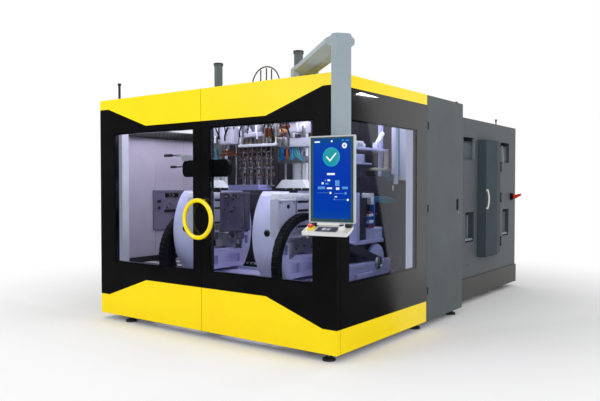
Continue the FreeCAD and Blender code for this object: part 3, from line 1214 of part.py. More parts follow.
def monitor_housing():
    """Shallow housing with the collar that turns on the post's spigot."""
    w = MONITOR_WIDTH / 2
    body = block(-w, w, MONITOR_FRONT, MONITOR_BACK, MONITOR_BOTTOM, MONITOR_TOP)
    body = body.makeFillet(10, [e for e in body.Edges if abs(e.tangentAt(0).y) > 0.9])
    body = body.makeChamfer(8, [e for e in body.Edges if e.CenterOfMass.y > MONITOR_BACK - 0.1])
    x0, x1, z0, z1 = screen_span()
    body = body.cut(block(x0, x1, MONITOR_FRONT - 1, MONITOR_FRONT + SCREEN_SET + SCREEN_THICK, z0, z1))
    low, high = SPIGOT_BOTTOM + SEAT, POST_BOTTOM - SEAT
    collar = cylinder(SPIGOT_RADIUS + 20, (0, 0, low), (0, 0, high))
    neck = block(-40, 40, MONITOR_BACK - 10, 0, low + 12, high - 12)
    back = block(-110, 110, MONITOR_BACK - 5, MONITOR_BACK + 16, low - 60, high + 60)
    body = fuse([body, collar, neck, back])
    return body.cut(cylinder(SPIGOT_RADIUS + HINGE_FIT, (0, 0, low - 20), (0, 0, high + 20)))


def monitor_screen():
    x0, x1, z0, z1 = screen_span()
    return block(x0, x1, MONITOR_FRONT + SCREEN_SET, MONITOR_FRONT + SCREEN_SET + SCREEN_THICK, z0, z1)


CONSOLE_BACK_Y = MONITOR_FRONT + 8.0
CONSOLE_BACK_Z = 1240.0
CONSOLE_MIDDLE = -9.0          # the console reaches further to the left than the monitor
CONSOLE_RIM = 12.0
RIM_HEIGHT = 4.0
COLLAR_AT = (-150.0, 66.0)     # along the console and down its slope from the back edge
KEYPAD_AT = (-6.0, 68.0)
KEYPAD_SIZE = (184.0, 84.0)
SELECTOR_AT = (112.0, 56.0)
KEY_AT = (158.0, 96.0)
BUTTON_TRAVEL = 5.0
BUTTON_STEM = 11.0
KNOB_STEM = 8.0
STEM_DEPTH = 14.0


def on_console(shape):
    """Tilt a piece that was built on the level console top about the back edge."""
    return turned(shape, (0, CONSOLE_BACK_Y, CONSOLE_BACK_Z), (1, 0, 0), CONSOLE_TILT)


def console_bar(x, down, radius, low, high):
    """Round piece that stands on the console top, before the tilt."""
    y = CONSOLE_BACK_Y - down
    return cylinder(radius, (x, y, CONSOLE_BACK_Z + low), (x, y, CONSOLE_BACK_Z + high))


def control_console():
    """Sloping desk with a raised rim, its brackets, the button's collar and the keypad field."""
    x0, x1 = CONSOLE_MIDDLE - CONSOLE_WIDTH / 2, CONSOLE_MIDDLE + CONSOLE_WIDTH / 2
    y, z = CONSOLE_BACK_Y, CONSOLE_BACK_Z
    desk = block(x0, x1, y - CONSOLE_DEPTH, y, z - CONSOLE_THICK, z)
    desk = desk.makeFillet(8, [e for e in desk.Edges if abs(e.tangentAt(0).z) > 0.9])
    desk = desk.cut(block(x0 + CONSOLE_RIM, x1 - CONSOLE_RIM, y - CONSOLE_DEPTH + CONSOLE_RIM, y + 1,
                          z - RIM_HEIGHT, z + 1))
    wedge = prism([(x0 - 1, y + 1, z - CONSOLE_THICK - 1), (x0 - 1, y - 60, z - CONSOLE_THICK - 1),
                   (x0 - 1, y + 1, z - 12)], (x1 - x0 + 2, 0, 0))
    desk = desk.cut(wedge)
    floor = -RIM_HEIGHT - 1
    (kx, down), (along, deep) = KEYPAD_AT, KEYPAD_SIZE
    keypad = block(kx - along / 2, kx + along / 2, y - down - deep / 2, y - down + deep / 2, z + floor, z - 1)
    seats = [console_bar(*COLLAR_AT, 31, floor, 12), console_bar(*SELECTOR_AT, 24, floor, 5),
             console_bar(*KEY_AT, 17, floor, 4)]
    desk = fuse([desk, keypad] + seats)
    bores = ((COLLAR_AT, BUTTON_STEM, STEM_DEPTH + BUTTON_TRAVEL), (SELECTOR_AT, KNOB_STEM, STEM_DEPTH),
             (KEY_AT, KNOB_STEM, STEM_DEPTH))
    for at, radius, depth in bores:
        desk = desk.cut(console_bar(*at, radius + HINGE_FIT, -depth - 1, 13))
    cover = block(x0 + 40, x1 - 40, y - 8, y + 14, z - 14, MONITOR_BOTTOM)
    ears = [block(x - 15, x + 15, y - 20, y + 18, z - 16, MONITOR_BOTTOM) for x in (x0 + 36, x1 - 36)]
    return fuse([on_console(desk), cover] + ears)


def estop_button():
    """Red mushroom button that travels in the yellow collar."""
    stem = console_bar(*COLLAR_AT, BUTTON_STEM, -STEM_DEPTH, 26)
    head = console_bar(*COLLAR_AT, 20, 12 + BUTTON_TRAVEL + 1, 34)
    top = [e for e in head.Edges if e.CenterOfMass.z > CONSOLE_BACK_Z + 33]
    return fuse([stem, head.makeFillet(6, top)])


def knob(at, radius, height, bar):
    """Turning knob with a grip bar across its top."""
    x, y = at[0], CONSOLE_BACK_Y - at[1]
    body = fuse([console_bar(*at, KNOB_STEM, -STEM_DEPTH, 8), console_bar(*at, radius, 6, height)])
    grip = block(x - bar[0] / 2, x + bar[0] / 2, y - bar[1] / 2, y + bar[1] / 2,
                 CONSOLE_BACK_Z + height - 2, CONSOLE_BACK_Z + height + bar[2])
    return fuse([body, turned(grip, (x, y, 0), (0, 0, 1), 35)])


# ---------------------------------------------------------------- save every sub-part
save("base_frame", base_frame())
save("foot_pads", *[foot_pad(x, y) for x, y in FOOT_PLACES])
save("foot_stems", *[foot_stem(x, y) for x, y in FOOT_PLACES])
save("cell_frame", cell_frame())
save("door_rails", *door_rails())
save("roof_panel", *roof_panel())
save("floor_grating", floor_grating())

both_sides("door_{}_panel", door_panel())
both_sides("door_{}_trim", Part.makeCompound(door_trim()))
both_sides("door_{}_window", pane(WINDOW_INNER, WINDOW_OUTER))
both_sides("door_{}_handle", ring_half())
both_sides("door_{}_lock", lock_housing())
save("side_panel_right", side_shell(True))
save("side_window_right", block(HALF_WIDTH - 2 - PANE, HALF_WIDTH - 2, SIDE_WINDOW_FRONT,
                                SIDE_WINDOW_REAR, WINDOW_BOTTOM, WINDOW_TOP))
save("side_panel_left", left_panel())
save("side_trims", *side_trims())

save("machine_bed", *machine_bed())
both_sides("clamp_frame_{}", clamp_frame())
both_sides("clamp_chain_{}", clamp_chain())
both_sides("front_mould_{}", Part.makeCompound(half_set(-1)))
both_sides("rear_mould_{}", Part.makeCompound(half_set(1)))
both_sides("blow_slide_{}", Part.makeCompound([blow_slide()] + blow_pins()))
save("blow_masts", blow_mast(), mirror_x(blow_mast()))
save("pin_guides", guide_block(), mirror_x(guide_block()))

save("extrusion_head", extrusion_head())
save("heater_bands", *heater_bands())
save("head_rods", *head_rods())
save("product_tray", product_tray())
save("extruder_barrel", extruder_barrel())
save("extruder_screw", extruder_screw())
save("feed_hopper", feed_hopper())
save("extruder_drive", *extruder_drive())
save("trim_press", trim_press())
save("scrap_box", scrap_box())
save("hose_loops", *hose_loops())

save("tall_module_shell", *tall_shell())
save("tall_module_door", tall_door())
save("switch_gear", switch_gear())
switch_base, switch_lever = main_switch()
save("rear_module_shell", *rear_shell(), rear_plinth(), switch_base)
save("main_switch_lever", switch_lever)
save("bay_door", bay_door())
save("bay_handle", bay_handle())

save("arm_column", arm_column())
save("support_arm", support_arm())
save("monitor_housing", panel_placed(monitor_housing()))
save("monitor_screen", panel_placed(monitor_screen()))
save("control_console", panel_placed(control_console()))
save("estop_button", panel_placed(on_console(estop_button())))
save("selector_knob", panel_placed(on_console(knob(SELECTOR_AT, 22, 30, (38, 10, 8)))))
save("key_switch", panel_placed(on_console(knob(KEY_AT, 12, 10, (22, 8, 7)))))
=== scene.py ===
from math import atan2, cos, degrees, hypot, pi, radians, sin

import bpy
from mathutils import Matrix, Vector


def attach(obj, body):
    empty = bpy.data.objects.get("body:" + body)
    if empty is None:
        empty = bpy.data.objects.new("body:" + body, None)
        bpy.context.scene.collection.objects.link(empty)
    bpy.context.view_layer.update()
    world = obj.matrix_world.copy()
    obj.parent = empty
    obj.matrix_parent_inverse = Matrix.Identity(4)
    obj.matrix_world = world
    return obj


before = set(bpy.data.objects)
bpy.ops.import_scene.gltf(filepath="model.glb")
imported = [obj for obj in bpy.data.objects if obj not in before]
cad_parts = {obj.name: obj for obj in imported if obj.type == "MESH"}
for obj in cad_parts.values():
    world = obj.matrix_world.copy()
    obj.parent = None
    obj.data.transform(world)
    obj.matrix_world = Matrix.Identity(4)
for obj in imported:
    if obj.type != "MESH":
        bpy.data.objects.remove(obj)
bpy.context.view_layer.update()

# ---- Camera ----
# A level photograph from the front right corner at eye height, taken from about seven
# metres away: the front doors recede to the left and the grey modules to the right.
EYE = Vector((4.65, -5.467, 1.553))
CAMERA_YAW = radians(36.588)
CAMERA_PITCH = radians(-1.416)
FOCAL_OVER_WIDTH = 638.97 / 600
SENSOR_WIDTH = 36.0


def nothing_selected():
    """Deselect every object, as a new or joined one must stand alone."""
    for chosen in list(bpy.context.selected_objects):
        chosen.select_set(False)


nothing_selected()
bpy.ops.object.camera_add(location=EYE, rotation=(pi / 2 + CAMERA_PITCH, 0, CAMERA_YAW))
camera = bpy.context.object
camera.name = "photo_camera"
camera.data.sensor_width = SENSOR_WIDTH
camera.data.lens = SENSOR_WIDTH * FOCAL_OVER_WIDTH
camera.data.clip_end = 200
bpy.context.scene.camera = camera


# ---- Floor and studio light ----
# A seamless white paper floor under large soft lamps. The paper and the world are white to
# the camera and to glossy and clear surfaces, and light the machine at a plain level.
def add(tree, kind, settings=None, links=None):
    """A shader node with its properties and socket values, and what it takes from others:
    a socket, or the first one that a node gives."""
    made = tree.nodes.new("ShaderNode" + kind)
    for key, value in (settings or {}).items():
        if isinstance(key, str) and hasattr(made, key):
            setattr(made, key, value)
        else:
            made.inputs[key].default_value = value
    for key, source in (links or {}).items():
        tree.links.new(getattr(source, "outputs", [source])[0], made.inputs[key])
    return made


def linear(code, alpha=1.0):
    """An sRGB hex colour as Blender's linear one."""
    parts = [int(code[i:i + 2], 16) / 255 for i in (1, 3, 5)]
    parts = [c / 12.92 if c <= 0.04045 else ((c + 0.055) / 1.055) ** 2.4 for c in parts]
    return (*parts, alpha)


def new_material(name):
    """An empty node material, its tree and its object coordinates."""
    material = bpy.data.materials.new(name)
    material.use_nodes = True
    tree = material.node_tree
    tree.nodes.clear()
    return material, tree, add(tree, "TexCoord").outputs["Object"]


def surface(tree, shader):
    """End a material with its shader."""
    add(tree, "OutputMaterial", links={"Surface": shader})


WORLD_LIGHT = 0.8
world = bpy.data.worlds.new("studio")
world.use_nodes = True
sky = world.node_tree
sky.nodes.clear()
ray = add(sky, "LightPath")
direct = add(sky, "Math", {"operation": "MAXIMUM"},
             {0: ray.outputs["Is Camera Ray"], 1: ray.outputs["Is Transmission Ray"]})
seen = add(sky, "Math", {"operation": "MAXIMUM"}, {0: direct, 1: ray.outputs["Is Glossy Ray"]})
strength = add(sky, "MapRange", {"To Min": WORLD_LIGHT, "To Max": 1.0}, {"Value": seen})
light = add(sky, "Background", {"Color": linear("#FFFFFF")}, {"Strength": strength})
add(sky, "OutputWorld", links={"Surface": light})
bpy.context.scene.world = world

PAPER_CLEAR = 2.6        # metres from the machine's middle at which the paper starts to glow
PAPER_WHITE = 6.5
nothing_selected()
bpy.ops.mesh.primitive_plane_add(size=60, location=(0, 1.8, 0))
paper = bpy.context.object
paper.name = "paper_floor"
paper_material, tree, place = new_material("white_paper")
reach = add(tree, "VectorMath", {"operation": "LENGTH"}, {0: place})
share = add(tree, "MapRange", {"interpolation_type": "SMOOTHSTEP", "From Min": PAPER_CLEAR, "From Max": PAPER_WHITE},
    {"Value": reach.outputs["Value"]})
matt = add(tree, "BsdfPrincipled", {"Base Color": linear("#F4F4F4"), "Roughness": 0.9})
glow = add(tree, "Emission", {"Color": linear("#FFFFFF"), "Strength": 1.0})
surface(tree, add(tree, "MixShader", links={0: share, 1: matt, 2: glow}))
paper.data.materials.append(paper_material)


def soft_lamp(name, at, toward, size, power, code="#FFFFFF", depth=None):
    """A large soft lamp turned towards a point, which the camera doesn't see."""
    nothing_selected()
    way = Vector(toward) - Vector(at)
    bpy.ops.object.light_add(type="AREA", location=at, rotation=way.to_track_quat("-Z", "Y").to_euler())
    lamp = bpy.context.object
    lamp.name = name
    lamp.data.shape = "RECTANGLE"
    lamp.data.size = size
    lamp.data.size_y = depth or size
    lamp.data.energy = power
    lamp.data.color = linear(code)[:3]
    lamp.visible_camera = False


soft_lamp("front_softbox", (-3.5, -9.0, 5.5), (0, 0, 1.3), 5.0, 260)
soft_lamp("side_softbox", (9.0, -1.0, 5.0), (1.5, 1.5, 1.3), 5.0, 160)
# Strip lamps under the roof light the moulding cell.
CELL_LAMP_Z, CELL_WHITE = 2.4, "#F3EEFC"
soft_lamp("cell_lamp_front", (0, -0.45, CELL_LAMP_Z), (0, -0.4, 0), 2.9, 26, CELL_WHITE, 0.3)
soft_lamp("cell_lamp_rear", (0, 0.45, CELL_LAMP_Z), (0, 0.3, 0), 2.9, 26, CELL_WHITE, 0.3)
soft_lamp("cell_lamp_side", (1.56, 0.15, CELL_LAMP_Z - 0.02), (1.25, 0.1, 1.0), 1.3, 14, CELL_WHITE, 0.06)


# Black cloths stand left of the camera and beside the machine, and lie before it. Only
# glossy surfaces see them, so that the black panels stay black on the camera's side.
cloth_black, tree, place = new_material("black_studio_cloth")
surface(tree, add(tree, "BsdfPrincipled", {"Base Color": linear("#050505"), "Roughness": 1.0}))


def black_cloth(name, *corners):
    """A flat cloth between corners, seen only in reflections."""
    mesh = bpy.data.meshes.new(name)
    mesh.from_pydata(corners, [], [tuple(range(len(corners)))])
    cloth = bpy.data.objects.new(name, mesh)
    bpy.context.collection.objects.link(cloth)
    cloth.visible_camera = cloth.visible_diffuse = False
    cloth.visible_transmission = cloth.visible_shadow = False
    mesh.materials.append(cloth_black)


CLOTH_Y, CLOTH_LEFT, CLOTH_RIGHT, CLOTH_TOP = -5.2, -9.0, 1.6, 4.2
LIE = 0.004              # height at which a cloth lies over the paper
black_cloth("cloth_front", (CLOTH_LEFT, CLOTH_Y, 0), (CLOTH_RIGHT, CLOTH_Y, 0), (CLOTH_RIGHT, CLOTH_Y, CLOTH_TOP),
    (CLOTH_LEFT, CLOTH_Y, CLOTH_TOP))
black_cloth("cloth_floor_front", (CLOTH_LEFT, CLOTH_Y, LIE), (CLOTH_RIGHT, CLOTH_Y, LIE), (1.64, -0.9, LIE),
    (CLOTH_LEFT, -0.9, LIE))
black_cloth("cloth_side", (4.65, 2.8, 0), (4.65, 5.57, 0), (4.65, 4.3, CLOTH_TOP), (4.65, 2.8, CLOTH_TOP))
black_cloth("cloth_floor_side", (1.64, -0.88, LIE), (4.65, -0.88, LIE), (4.65, 5.57, LIE), (1.64, 0.27, LIE))


def dress(material, *nodes):
    """Give CAD nodes their finish."""
    for name in nodes:
        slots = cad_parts[name].data.materials
        slots.clear()
        slots.append(material)


# ---- Base frame, feet and cell frame ----
# Welded box beams in satin violet-grey machine paint, brushed by hand over the welds, on
# black moulded pads with zinc-plated stems. The paint is a little uneven and soft in gloss.
PATCH = 0.35             # metres across which a coat's colour drifts


def blend(tree, code, drift, share):
    """A colour that drifts from one hex to another."""
    return add(tree, "Mix", {"data_type": "RGBA", 6: linear(code), 7: linear(drift)}, {0: share}).outputs[2]


def skin(tree, colour, pattern, rough, spread, bump, depth, reach=(0.3, 0.7), **shader):
    """End a material with a gloss and a relief that a fine pattern breaks up."""
    ends = {"From Min": reach[0], "From Max": reach[1], "To Min": rough, "To Max": rough + spread}
    gloss = add(tree, "MapRange", ends, {"Value": pattern})
    relief = add(tree, "Bump", {"Strength": bump, "Distance": depth}, {"Height": pattern})
    surface(tree, add(tree, "BsdfPrincipled", shader, {"Base Color": colour, "Roughness": gloss, "Normal": relief}))


def coat(name, code, drift, grain, bump, rough, spread=0.08, **shader):
    """Paint or moulded plastic: its colour drifts in broad patches towards a second hex,
    and a grain of the given size in metres breaks up its gloss."""
    material, tree, place = new_material(name)
    broad = add(tree, "TexNoise", {"Scale": 1 / PATCH, "Detail": 3.0}, {"Vector": place})
    fine = add(tree, "TexNoise", {"Scale": 1 / grain, "Detail": 2.0}, {"Vector": place})
    eased = add(tree, "MapRange", {"From Min": 0.35, "From Max": 0.65}, {"Value": broad})
    skin(tree, blend(tree, code, drift, eased), fine, rough, spread, bump, grain * 0.4, **shader)
    return material


def bare_metal(name, code, drift, stroke, rough):
    """Metal with fine strokes along the axes; stroke is their size in metres along X, Y, Z."""
    material, tree, place = new_material(name)
    turn = add(tree, "Mapping", {"Scale": tuple(1 / size for size in stroke)}, {"Vector": place})
    strokes = add(tree, "TexNoise", {"Scale": 1.0, "Detail": 4.0}, {"Vector": turn})
    broad = add(tree, "TexNoise", {"Scale": 9.0, "Detail": 2.0}, {"Vector": place})
    skin(tree, blend(tree, code, drift, broad), strokes, rough, 0.15, 0.05, 0.0004, Metallic=1.0)
    return material


zinc_steel = bare_metal("zinc_plated_steel", "#B9BCC2", "#A9A59C", (0.003, 0.003, 0.003), 0.28)
dress(coat("satin_violet_grey_paint", "#D3D3DF", "#C6C5D4", 0.006, 0.1, 0.34), "base_frame", "cell_frame")
dress(coat("moulded_black_pad", "#17171A", "#222226", 0.003, 0.25, 0.55), "foot_pads")
dress(zinc_steel, "foot_stems", "door_rails")

# ---- Black panels and yellow sheets ----
# Folded sheet steel. The doors and side panels are powder coated a smooth glossy black, and
# the bent sheets over them a clear glossy yellow with a trace of orange peel.
yellow_coat = coat("smooth_yellow_powder_coat", "#FFE200", "#FFDE00", 0.005, 0.05, 0.26, 0.06,
    **{"Specular IOR Level": 0.3, "Coat Weight": 0.08, "Coat Roughness": 0.12})
dress(coat("gloss_black_powder_coat", "#0C0C0D", "#111113", 0.004, 0.04, 0.12, 0.05), "door_left_panel",
    "door_right_panel", "side_panel_right", "side_panel_left")
dress(yellow_coat, "door_left_trim", "door_right_trim", "side_trims")


def parted(name, cuts, *codes, rough=0.36):
    """Paint whose colour changes at the given heights."""
    material, tree, place = new_material(name)
    height = add(tree, "SeparateXYZ", links={0: place}).outputs["Z"]
    fine = add(tree, "TexNoise", {"Scale": 1 / 0.005, "Detail": 2.0}, {"Vector": place})
    mixed = add(tree, "RGB")
    mixed.outputs[0].default_value = linear(codes[0])
    for cut, code in zip(cuts, codes[1:]):
        over = add(tree, "Math", {"operation": "GREATER_THAN", 1: cut}, {0: height})
        mixed = add(tree, "Mix", {"data_type": "RGBA", 7: linear(code)}, {0: over, 6: mixed}).outputs[2]
    skin(tree, mixed, fine, rough, 0.1, 0.12, 0.002, (0.0, 1.0))
    return material


# The roof sheet is white below and yellow above, and its signal post black.
dress(parted("roof_sheet_coat", (2.4855, 2.4875), "#D8D6E2", "#FFDF00", "#101012"), "roof_panel")


# ---- Window panes ----
# Clear polycarbonate sheets, eight millimetres thick, in rubber seats. They are all but
# colourless, and show as a soft reflection over what stands behind them.
def clear_sheet(name, code, least):
    """See-through sheet: mostly open, with a glossy share that grows from the least one
    towards a glancing view."""
    material, tree, place = new_material(name)
    waves = add(tree, "TexNoise", {"Scale": 2.2, "Detail": 1.0}, {"Vector": place})
    relief = add(tree, "Bump", {"Strength": 0.01, "Distance": 0.01}, {"Height": waves})
    slant = add(tree, "LayerWeight", {"Blend": 0.5}, {"Normal": relief})
    rise = add(tree, "Math", {"operation": "POWER", 1: 5.0}, {0: slant.outputs["Facing"]})
    share = add(tree, "Math", {"operation": "MULTIPLY_ADD", 1: 1.0 - least, 2: least}, {0: rise})
    open_air = add(tree, "BsdfTransparent", {"Color": linear(code)})
    gloss = add(tree, "BsdfPrincipled", {"Base Color": linear("#FFFFFF"), "Metallic": 1.0, "Roughness": 0.03},
               {"Normal": relief})
    surface(tree, add(tree, "MixShader", links={0: share, 1: open_air, 2: gloss}))
    return material


dress(clear_sheet("clear_polycarbonate", "#F4F7F8", 0.01), "door_left_window", "door_right_window")
dress(clear_sheet("tinted_polycarbonate", "#DCE0E6", 0.006), "side_window_right")

# ---- Ring handle and interlock housings ----
# Two halves of a bent steel tube in glossy yellow, and black moulded housings behind the
# doors' inner edges that hold the safety switches.
switch_plastic = coat("moulded_black_housing", "#050506", "#09090B", 0.003, 0.12, 0.36,
    **{"Specular IOR Level": 0.12})
dress(coat("gloss_yellow_tube_coat", "#FFE800", "#FFE200", 0.004, 0.03, 0.16, 0.05, **{"Coat Weight": 0.6}),
    "door_left_handle", "door_right_handle")
dress(switch_plastic, "door_left_lock", "door_right_lock")

# ---- Grey modules ----
# Sheet steel cabinets with a fine-textured blue-grey powder coat. It is matt, and its grain
# only shows up close; the bay door is a darker shade of the same coat.
PLINTH_TOP = 0.3325
grey_coat = coat("textured_grey_powder_coat", "#4C5658", "#484E53", 0.005, 0.3, 0.5, 0.12)
red_moulding = coat("red_moulded_lever", "#E0301A", "#D32A16", 0.003, 0.05, 0.3)
gear_plastic = coat("grey_switch_gear", "#A7A9AC", "#8E9194", 0.01, 0.1, 0.45)
dress(grey_coat, "tall_module_shell", "tall_module_door", "scrap_box")
# The rear module's coat is darker below the plinth's top: painted shade for its darkening towards the floor.
dress(parted("rear_module_coat_painted_plinth_shade", (PLINTH_TOP,), "#3D3F3C", "#454C50", rough=0.52), "rear_module_shell")
dress(coat("textured_dark_powder_coat", "#37434B", "#333F47", 0.005, 0.3, 0.62, 0.12, **{"Specular IOR Level": 0.15}),
    "bay_door")
dress(coat("white_moulded_handle", "#E9E9E4", "#DFDFDA", 0.003, 0.05, 0.3), "bay_handle")
dress(red_moulding, "main_switch_lever")
dress(gear_plastic, "switch_gear")

# ---- Liner, lamps and duct of the moulding cell ----
# Folded sheets in light violet-grey enamel line the left wall, a dark one the rear wall.
# A slotted black cable duct and a long white lamp run under the roof on the left.
def mode(name):
    """Go to edit or object mode."""
    bpy.ops.object.mode_set(mode=name)


def select_all(action):
    """Select or deselect the mesh in edit mode."""
    bpy.ops.mesh.select_all(action=action)


def box(low, high, edge=0.003, steps=1):
    """A solid between two corners, with its edges rounded."""
    nothing_selected()
    low, high = Vector(low), Vector(high)
    bpy.ops.mesh.primitive_cube_add(size=1, location=(low + high) / 2)
    made = bpy.context.object
    made.scale = high - low
    bpy.ops.object.transform_apply(location=True, rotation=True, scale=True)
    mode("EDIT")
    select_all("SELECT")
    bpy.ops.mesh.bevel(offset=edge, segments=steps, affect="EDGES")
    mode("OBJECT")
    return made


def bar(start, end, radius, edge, sides=16):
    """A round bar between two points, with its rims rounded."""
    nothing_selected()
    start, end = Vector(start), Vector(end)
    way = end - start
    bpy.ops.mesh.primitive_cylinder_add(vertices=sides, radius=radius, depth=way.length, location=(start + end) / 2,
        rotation=way.to_track_quat("Z", "Y").to_euler())
    made = bpy.context.object
    bpy.ops.object.transform_apply(location=True, rotation=True, scale=True)
    mode("EDIT")
    bpy.ops.mesh.select_mode(type="FACE")
    select_all("DESELECT")
    bpy.ops.mesh.select_face_by_sides(number=4, type="GREATER")
    bpy.ops.mesh.region_to_loop()
    bpy.ops.mesh.bevel(offset=edge, segments=2, affect="EDGES")
    mode("OBJECT")
    return made


def select_faces(made, wanted):
    """In edit mode, select the faces whose centre and normal pass the test."""
    mode("EDIT")
    bpy.ops.mesh.select_mode(type="FACE")
    select_all("DESELECT")
    mode("OBJECT")
    for face in made.data.polygons:
        face.select = wanted(face.center, face.normal)
    mode("EDIT")


def facing(way, past, along=None):
    """A test for faces that look along an axis, such as "x" or "-y", and lie past a value on
    it, or above that value on another axis."""
    look, sign = "xyz".index(way[-1]), -1 if way[0] == "-" else 1
    where, side = ("xyz".index(along), 1) if along else (look, sign)
    return lambda centre, normal: sign * normal[look] > 0.9 and side * centre[where] > side * past


def press_in(made, wanted, rim, depth):
    """Inset the chosen faces by a rim and push them in along their normals."""
    select_faces(made, wanted)
    bpy.ops.mesh.inset(thickness=rim)
    bpy.ops.mesh.extrude_region_shrink_fatten(TRANSFORM_OT_shrink_fatten={"value": -depth})
    mode("OBJECT")
    return made


def placed(part, at, *turns):
    """Turn a part by degrees about axes through its origin, the last one first, and move it."""
    matrix = Matrix.Translation(at)
    for angle, axis in turns:
        matrix = matrix @ Matrix.Rotation(radians(angle), 4, axis)
    part.data.transform(matrix)
    return part


SMOOTH_UNDER = radians(35)      # edges flatter than this are shaded as curved


def piece(name, parts, material, body="machine"):
    """Join parts to one piece, give it its finish and the body that it moves with."""
    nothing_selected()
    for part in parts:
        part.select_set(True)
    bpy.context.view_layer.objects.active = parts[0]
    if len(parts) > 1:
        bpy.ops.object.join()
    made = bpy.context.object
    made.name = name
    made.data.materials.clear()
    made.data.materials.append(material)
    bpy.ops.object.shade_smooth_by_angle(angle=SMOOTH_UNDER)
    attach(made, body)
    return made


def row(part, count, step):
    """Copies of a part at equal steps, each with its own mesh, and the part itself."""
    made = [part]
    for i in range(1, count):
        copy = part.copy()
        copy.data = part.data.copy()
        copy.data.transform(Matrix.Translation(Vector(step) * i))
        bpy.context.collection.objects.link(copy)
        made.append(copy)
    return made


def glowing(name, code, strength):
    """Lit plastic or glass, with a plain gloss over it."""
    material, tree, place = new_material(name)
    haze = add(tree, "TexNoise", {"Scale": 14.0, "Detail": 2.0}, {"Vector": place})
    level = add(tree, "MapRange", {"To Min": strength * 0.94, "To Max": strength}, {"Value": haze})
    body = add(tree, "BsdfPrincipled",
        {"Base Color": linear("#101010"), "Roughness": 0.25, "Emission Color": linear(code)},
        {"Emission Strength": level})
    surface(tree, body)
    return material


LINER_X, LINER_BACK = -1.584, 0.86
FLOOR_Z = 0.6
left_liner = box((LINER_X, -0.62, FLOOR_Z + 0.002), (LINER_X + 0.008, 0.862, 2.4), 0.002)
folds = row(box((LINER_X + 0.006, -0.6, 0.7), (LINER_X + 0.012, -0.592, 2.1), 0.001), 4, (0, 0.478, 0))
piece("left_liner", [left_liner] + folds, coat("violet_grey_enamel_sheet", "#B9B1C1", "#AFA7B8", 0.004, 0.06, 0.3))

rear_liner = box((-1.575, 0.866, FLOOR_Z + 0.002), (1.585, 0.874, 2.44), 0.002)
seams = row(box((-1.2, 0.86, 0.7), (-1.19, 0.868, 2.4), 0.001), 7, (0.4, 0, 0))
piece("rear_liner", [rear_liner] + seams, coat("dark_enamel_sheet", "#141118", "#0F0D12", 0.004, 0.06, 0.34))

black_enamel = coat("satin_black_sheet", "#0E0E11", "#16161A", 0.003, 0.06, 0.34)
skirting = box((LINER_X + 0.006, -0.6, FLOOR_Z + 0.002), (LINER_X + 0.02, LINER_BACK, 0.672), 0.002)
duct = box((LINER_X + 0.006, -0.6, 2.128), (LINER_X + 0.08, LINER_BACK, 2.22), 0.004, 2)
duct_lips = row(box((LINER_X + 0.078, -0.59, 2.14), (LINER_X + 0.084, -0.56, 2.208), 0.001), 24, (0, 0.06, 0))
piece("liner_duct", [skirting, duct] + duct_lips, black_enamel)

side_lamp = press_in(box((LINER_X + 0.006, -0.6, 2.232), (LINER_X + 0.05, LINER_BACK, 2.345), 0.006, 2),
    facing("x", LINER_X + 0.049), 0.004, 0.002)
ceiling_lamps = [press_in(box((-1.4, y, 2.425), (1.4, y + 0.14, 2.47), 0.008, 2), facing("-z", 2.43), 0.008, 0.003)
    for y in (-0.56, 0.38)]
piece("cell_lamps", [side_lamp] + ceiling_lamps, glowing("lit_lamp_diffuser", "#FBF9FF", 1.15))

# ---- Painted light and shade on the posts ----
# Long frosted covers on the front posts' inner corners and on the rear post glow faintly: painted light for the lit
# post faces.
post_painted_light = glowing("post_front_painted_light", "#C6C8E2", 0.47)
for side, x in (("left", -1.51), ("right", 1.51)):
    strip = box((x - 0.056, -0.73, 0.61), (x + 0.056, -0.719, 2.38), 0.004, 2)
    clips = row(box((x - 0.058, -0.7305, 0.72), (x + 0.058, -0.719, 0.735), 0.002), 5, (0, 0, 0.38))
    piece(f"painted_light_strip_{side}", [strip] + clips, post_painted_light)
# The rear post's narrow cover glows brighter, as painted light on that post's side.
rear_strip = box((1.559, 0.552, 0.64), (1.564, 0.721, 2.3), 0.002, 2)
rear_clips = row(box((1.559, 0.549, 0.7), (1.5646, 0.724, 0.712), 0.001), 4, (0, 0, 0.52))
# A black sheet over the lower part of the post's front face is painted shade for that face.
post_painted_shade = press_in(box((1.457, 0.566, 0.61), (1.557, 0.5795, 1.6), 0.003, 2), facing("-y", 0.567), 0.01, 0.004)
piece("post_painted_shade", [post_painted_shade], black_enamel)
piece("painted_light_strip_rear", [rear_strip] + rear_clips, glowing("post_side_painted_light", "#D6D6EC", 0.92))

# ---- Service hatch in the left liner ----
# A darker steel cover in a raised frame, with two black vents and a row of couplings.
HATCH_Y, HATCH_Z = (-0.163, 0.386), (0.985, 1.485)
hatch = press_in(box((LINER_X + 0.006, HATCH_Y[0], HATCH_Z[0]), (LINER_X + 0.03, HATCH_Y[1], HATCH_Z[1])),
    facing("x", LINER_X + 0.029), 0.022, 0.008)
hatch_screws = [bar((LINER_X + 0.028, y, z), (LINER_X + 0.036, y, z), 0.007, 0.001, 10)
                for y in (-0.151, 0.112, 0.374) for z in (0.997, 1.473)]
piece("liner_hatch", [hatch] + hatch_screws,
    coat("grey_violet_hatch_enamel", "#78728A", "#69637B", 0.004, 0.06, 0.32))
vents = [box((LINER_X + 0.02, y, z), (LINER_X + 0.04, y + wide, z + high)) for y, wide, z, high in (
    (0.03, 0.05, 1.398, 0.048), (0.1, 0.04, 1.405, 0.04), (0.165, 0.075, 1.395, 0.052),
    (0.01, 0.24, 1.21, 0.028), (-0.1, 0.05, 1.33, 0.03), (-0.095, 0.03, 1.25, 0.026))]
piece("hatch_vents", vents, black_enamel)
hatch_lights = [bar((LINER_X + 0.02, y, z), (LINER_X + 0.052, y, z), r, 0.002, 12)
                for y, z, r in ((0.086, 1.425, 0.012), (0.148, 1.42, 0.011), (0.06, 1.27, 0.015), (0.12, 1.32, 0.01))]
piece("hatch_couplings", hatch_lights, zinc_steel)

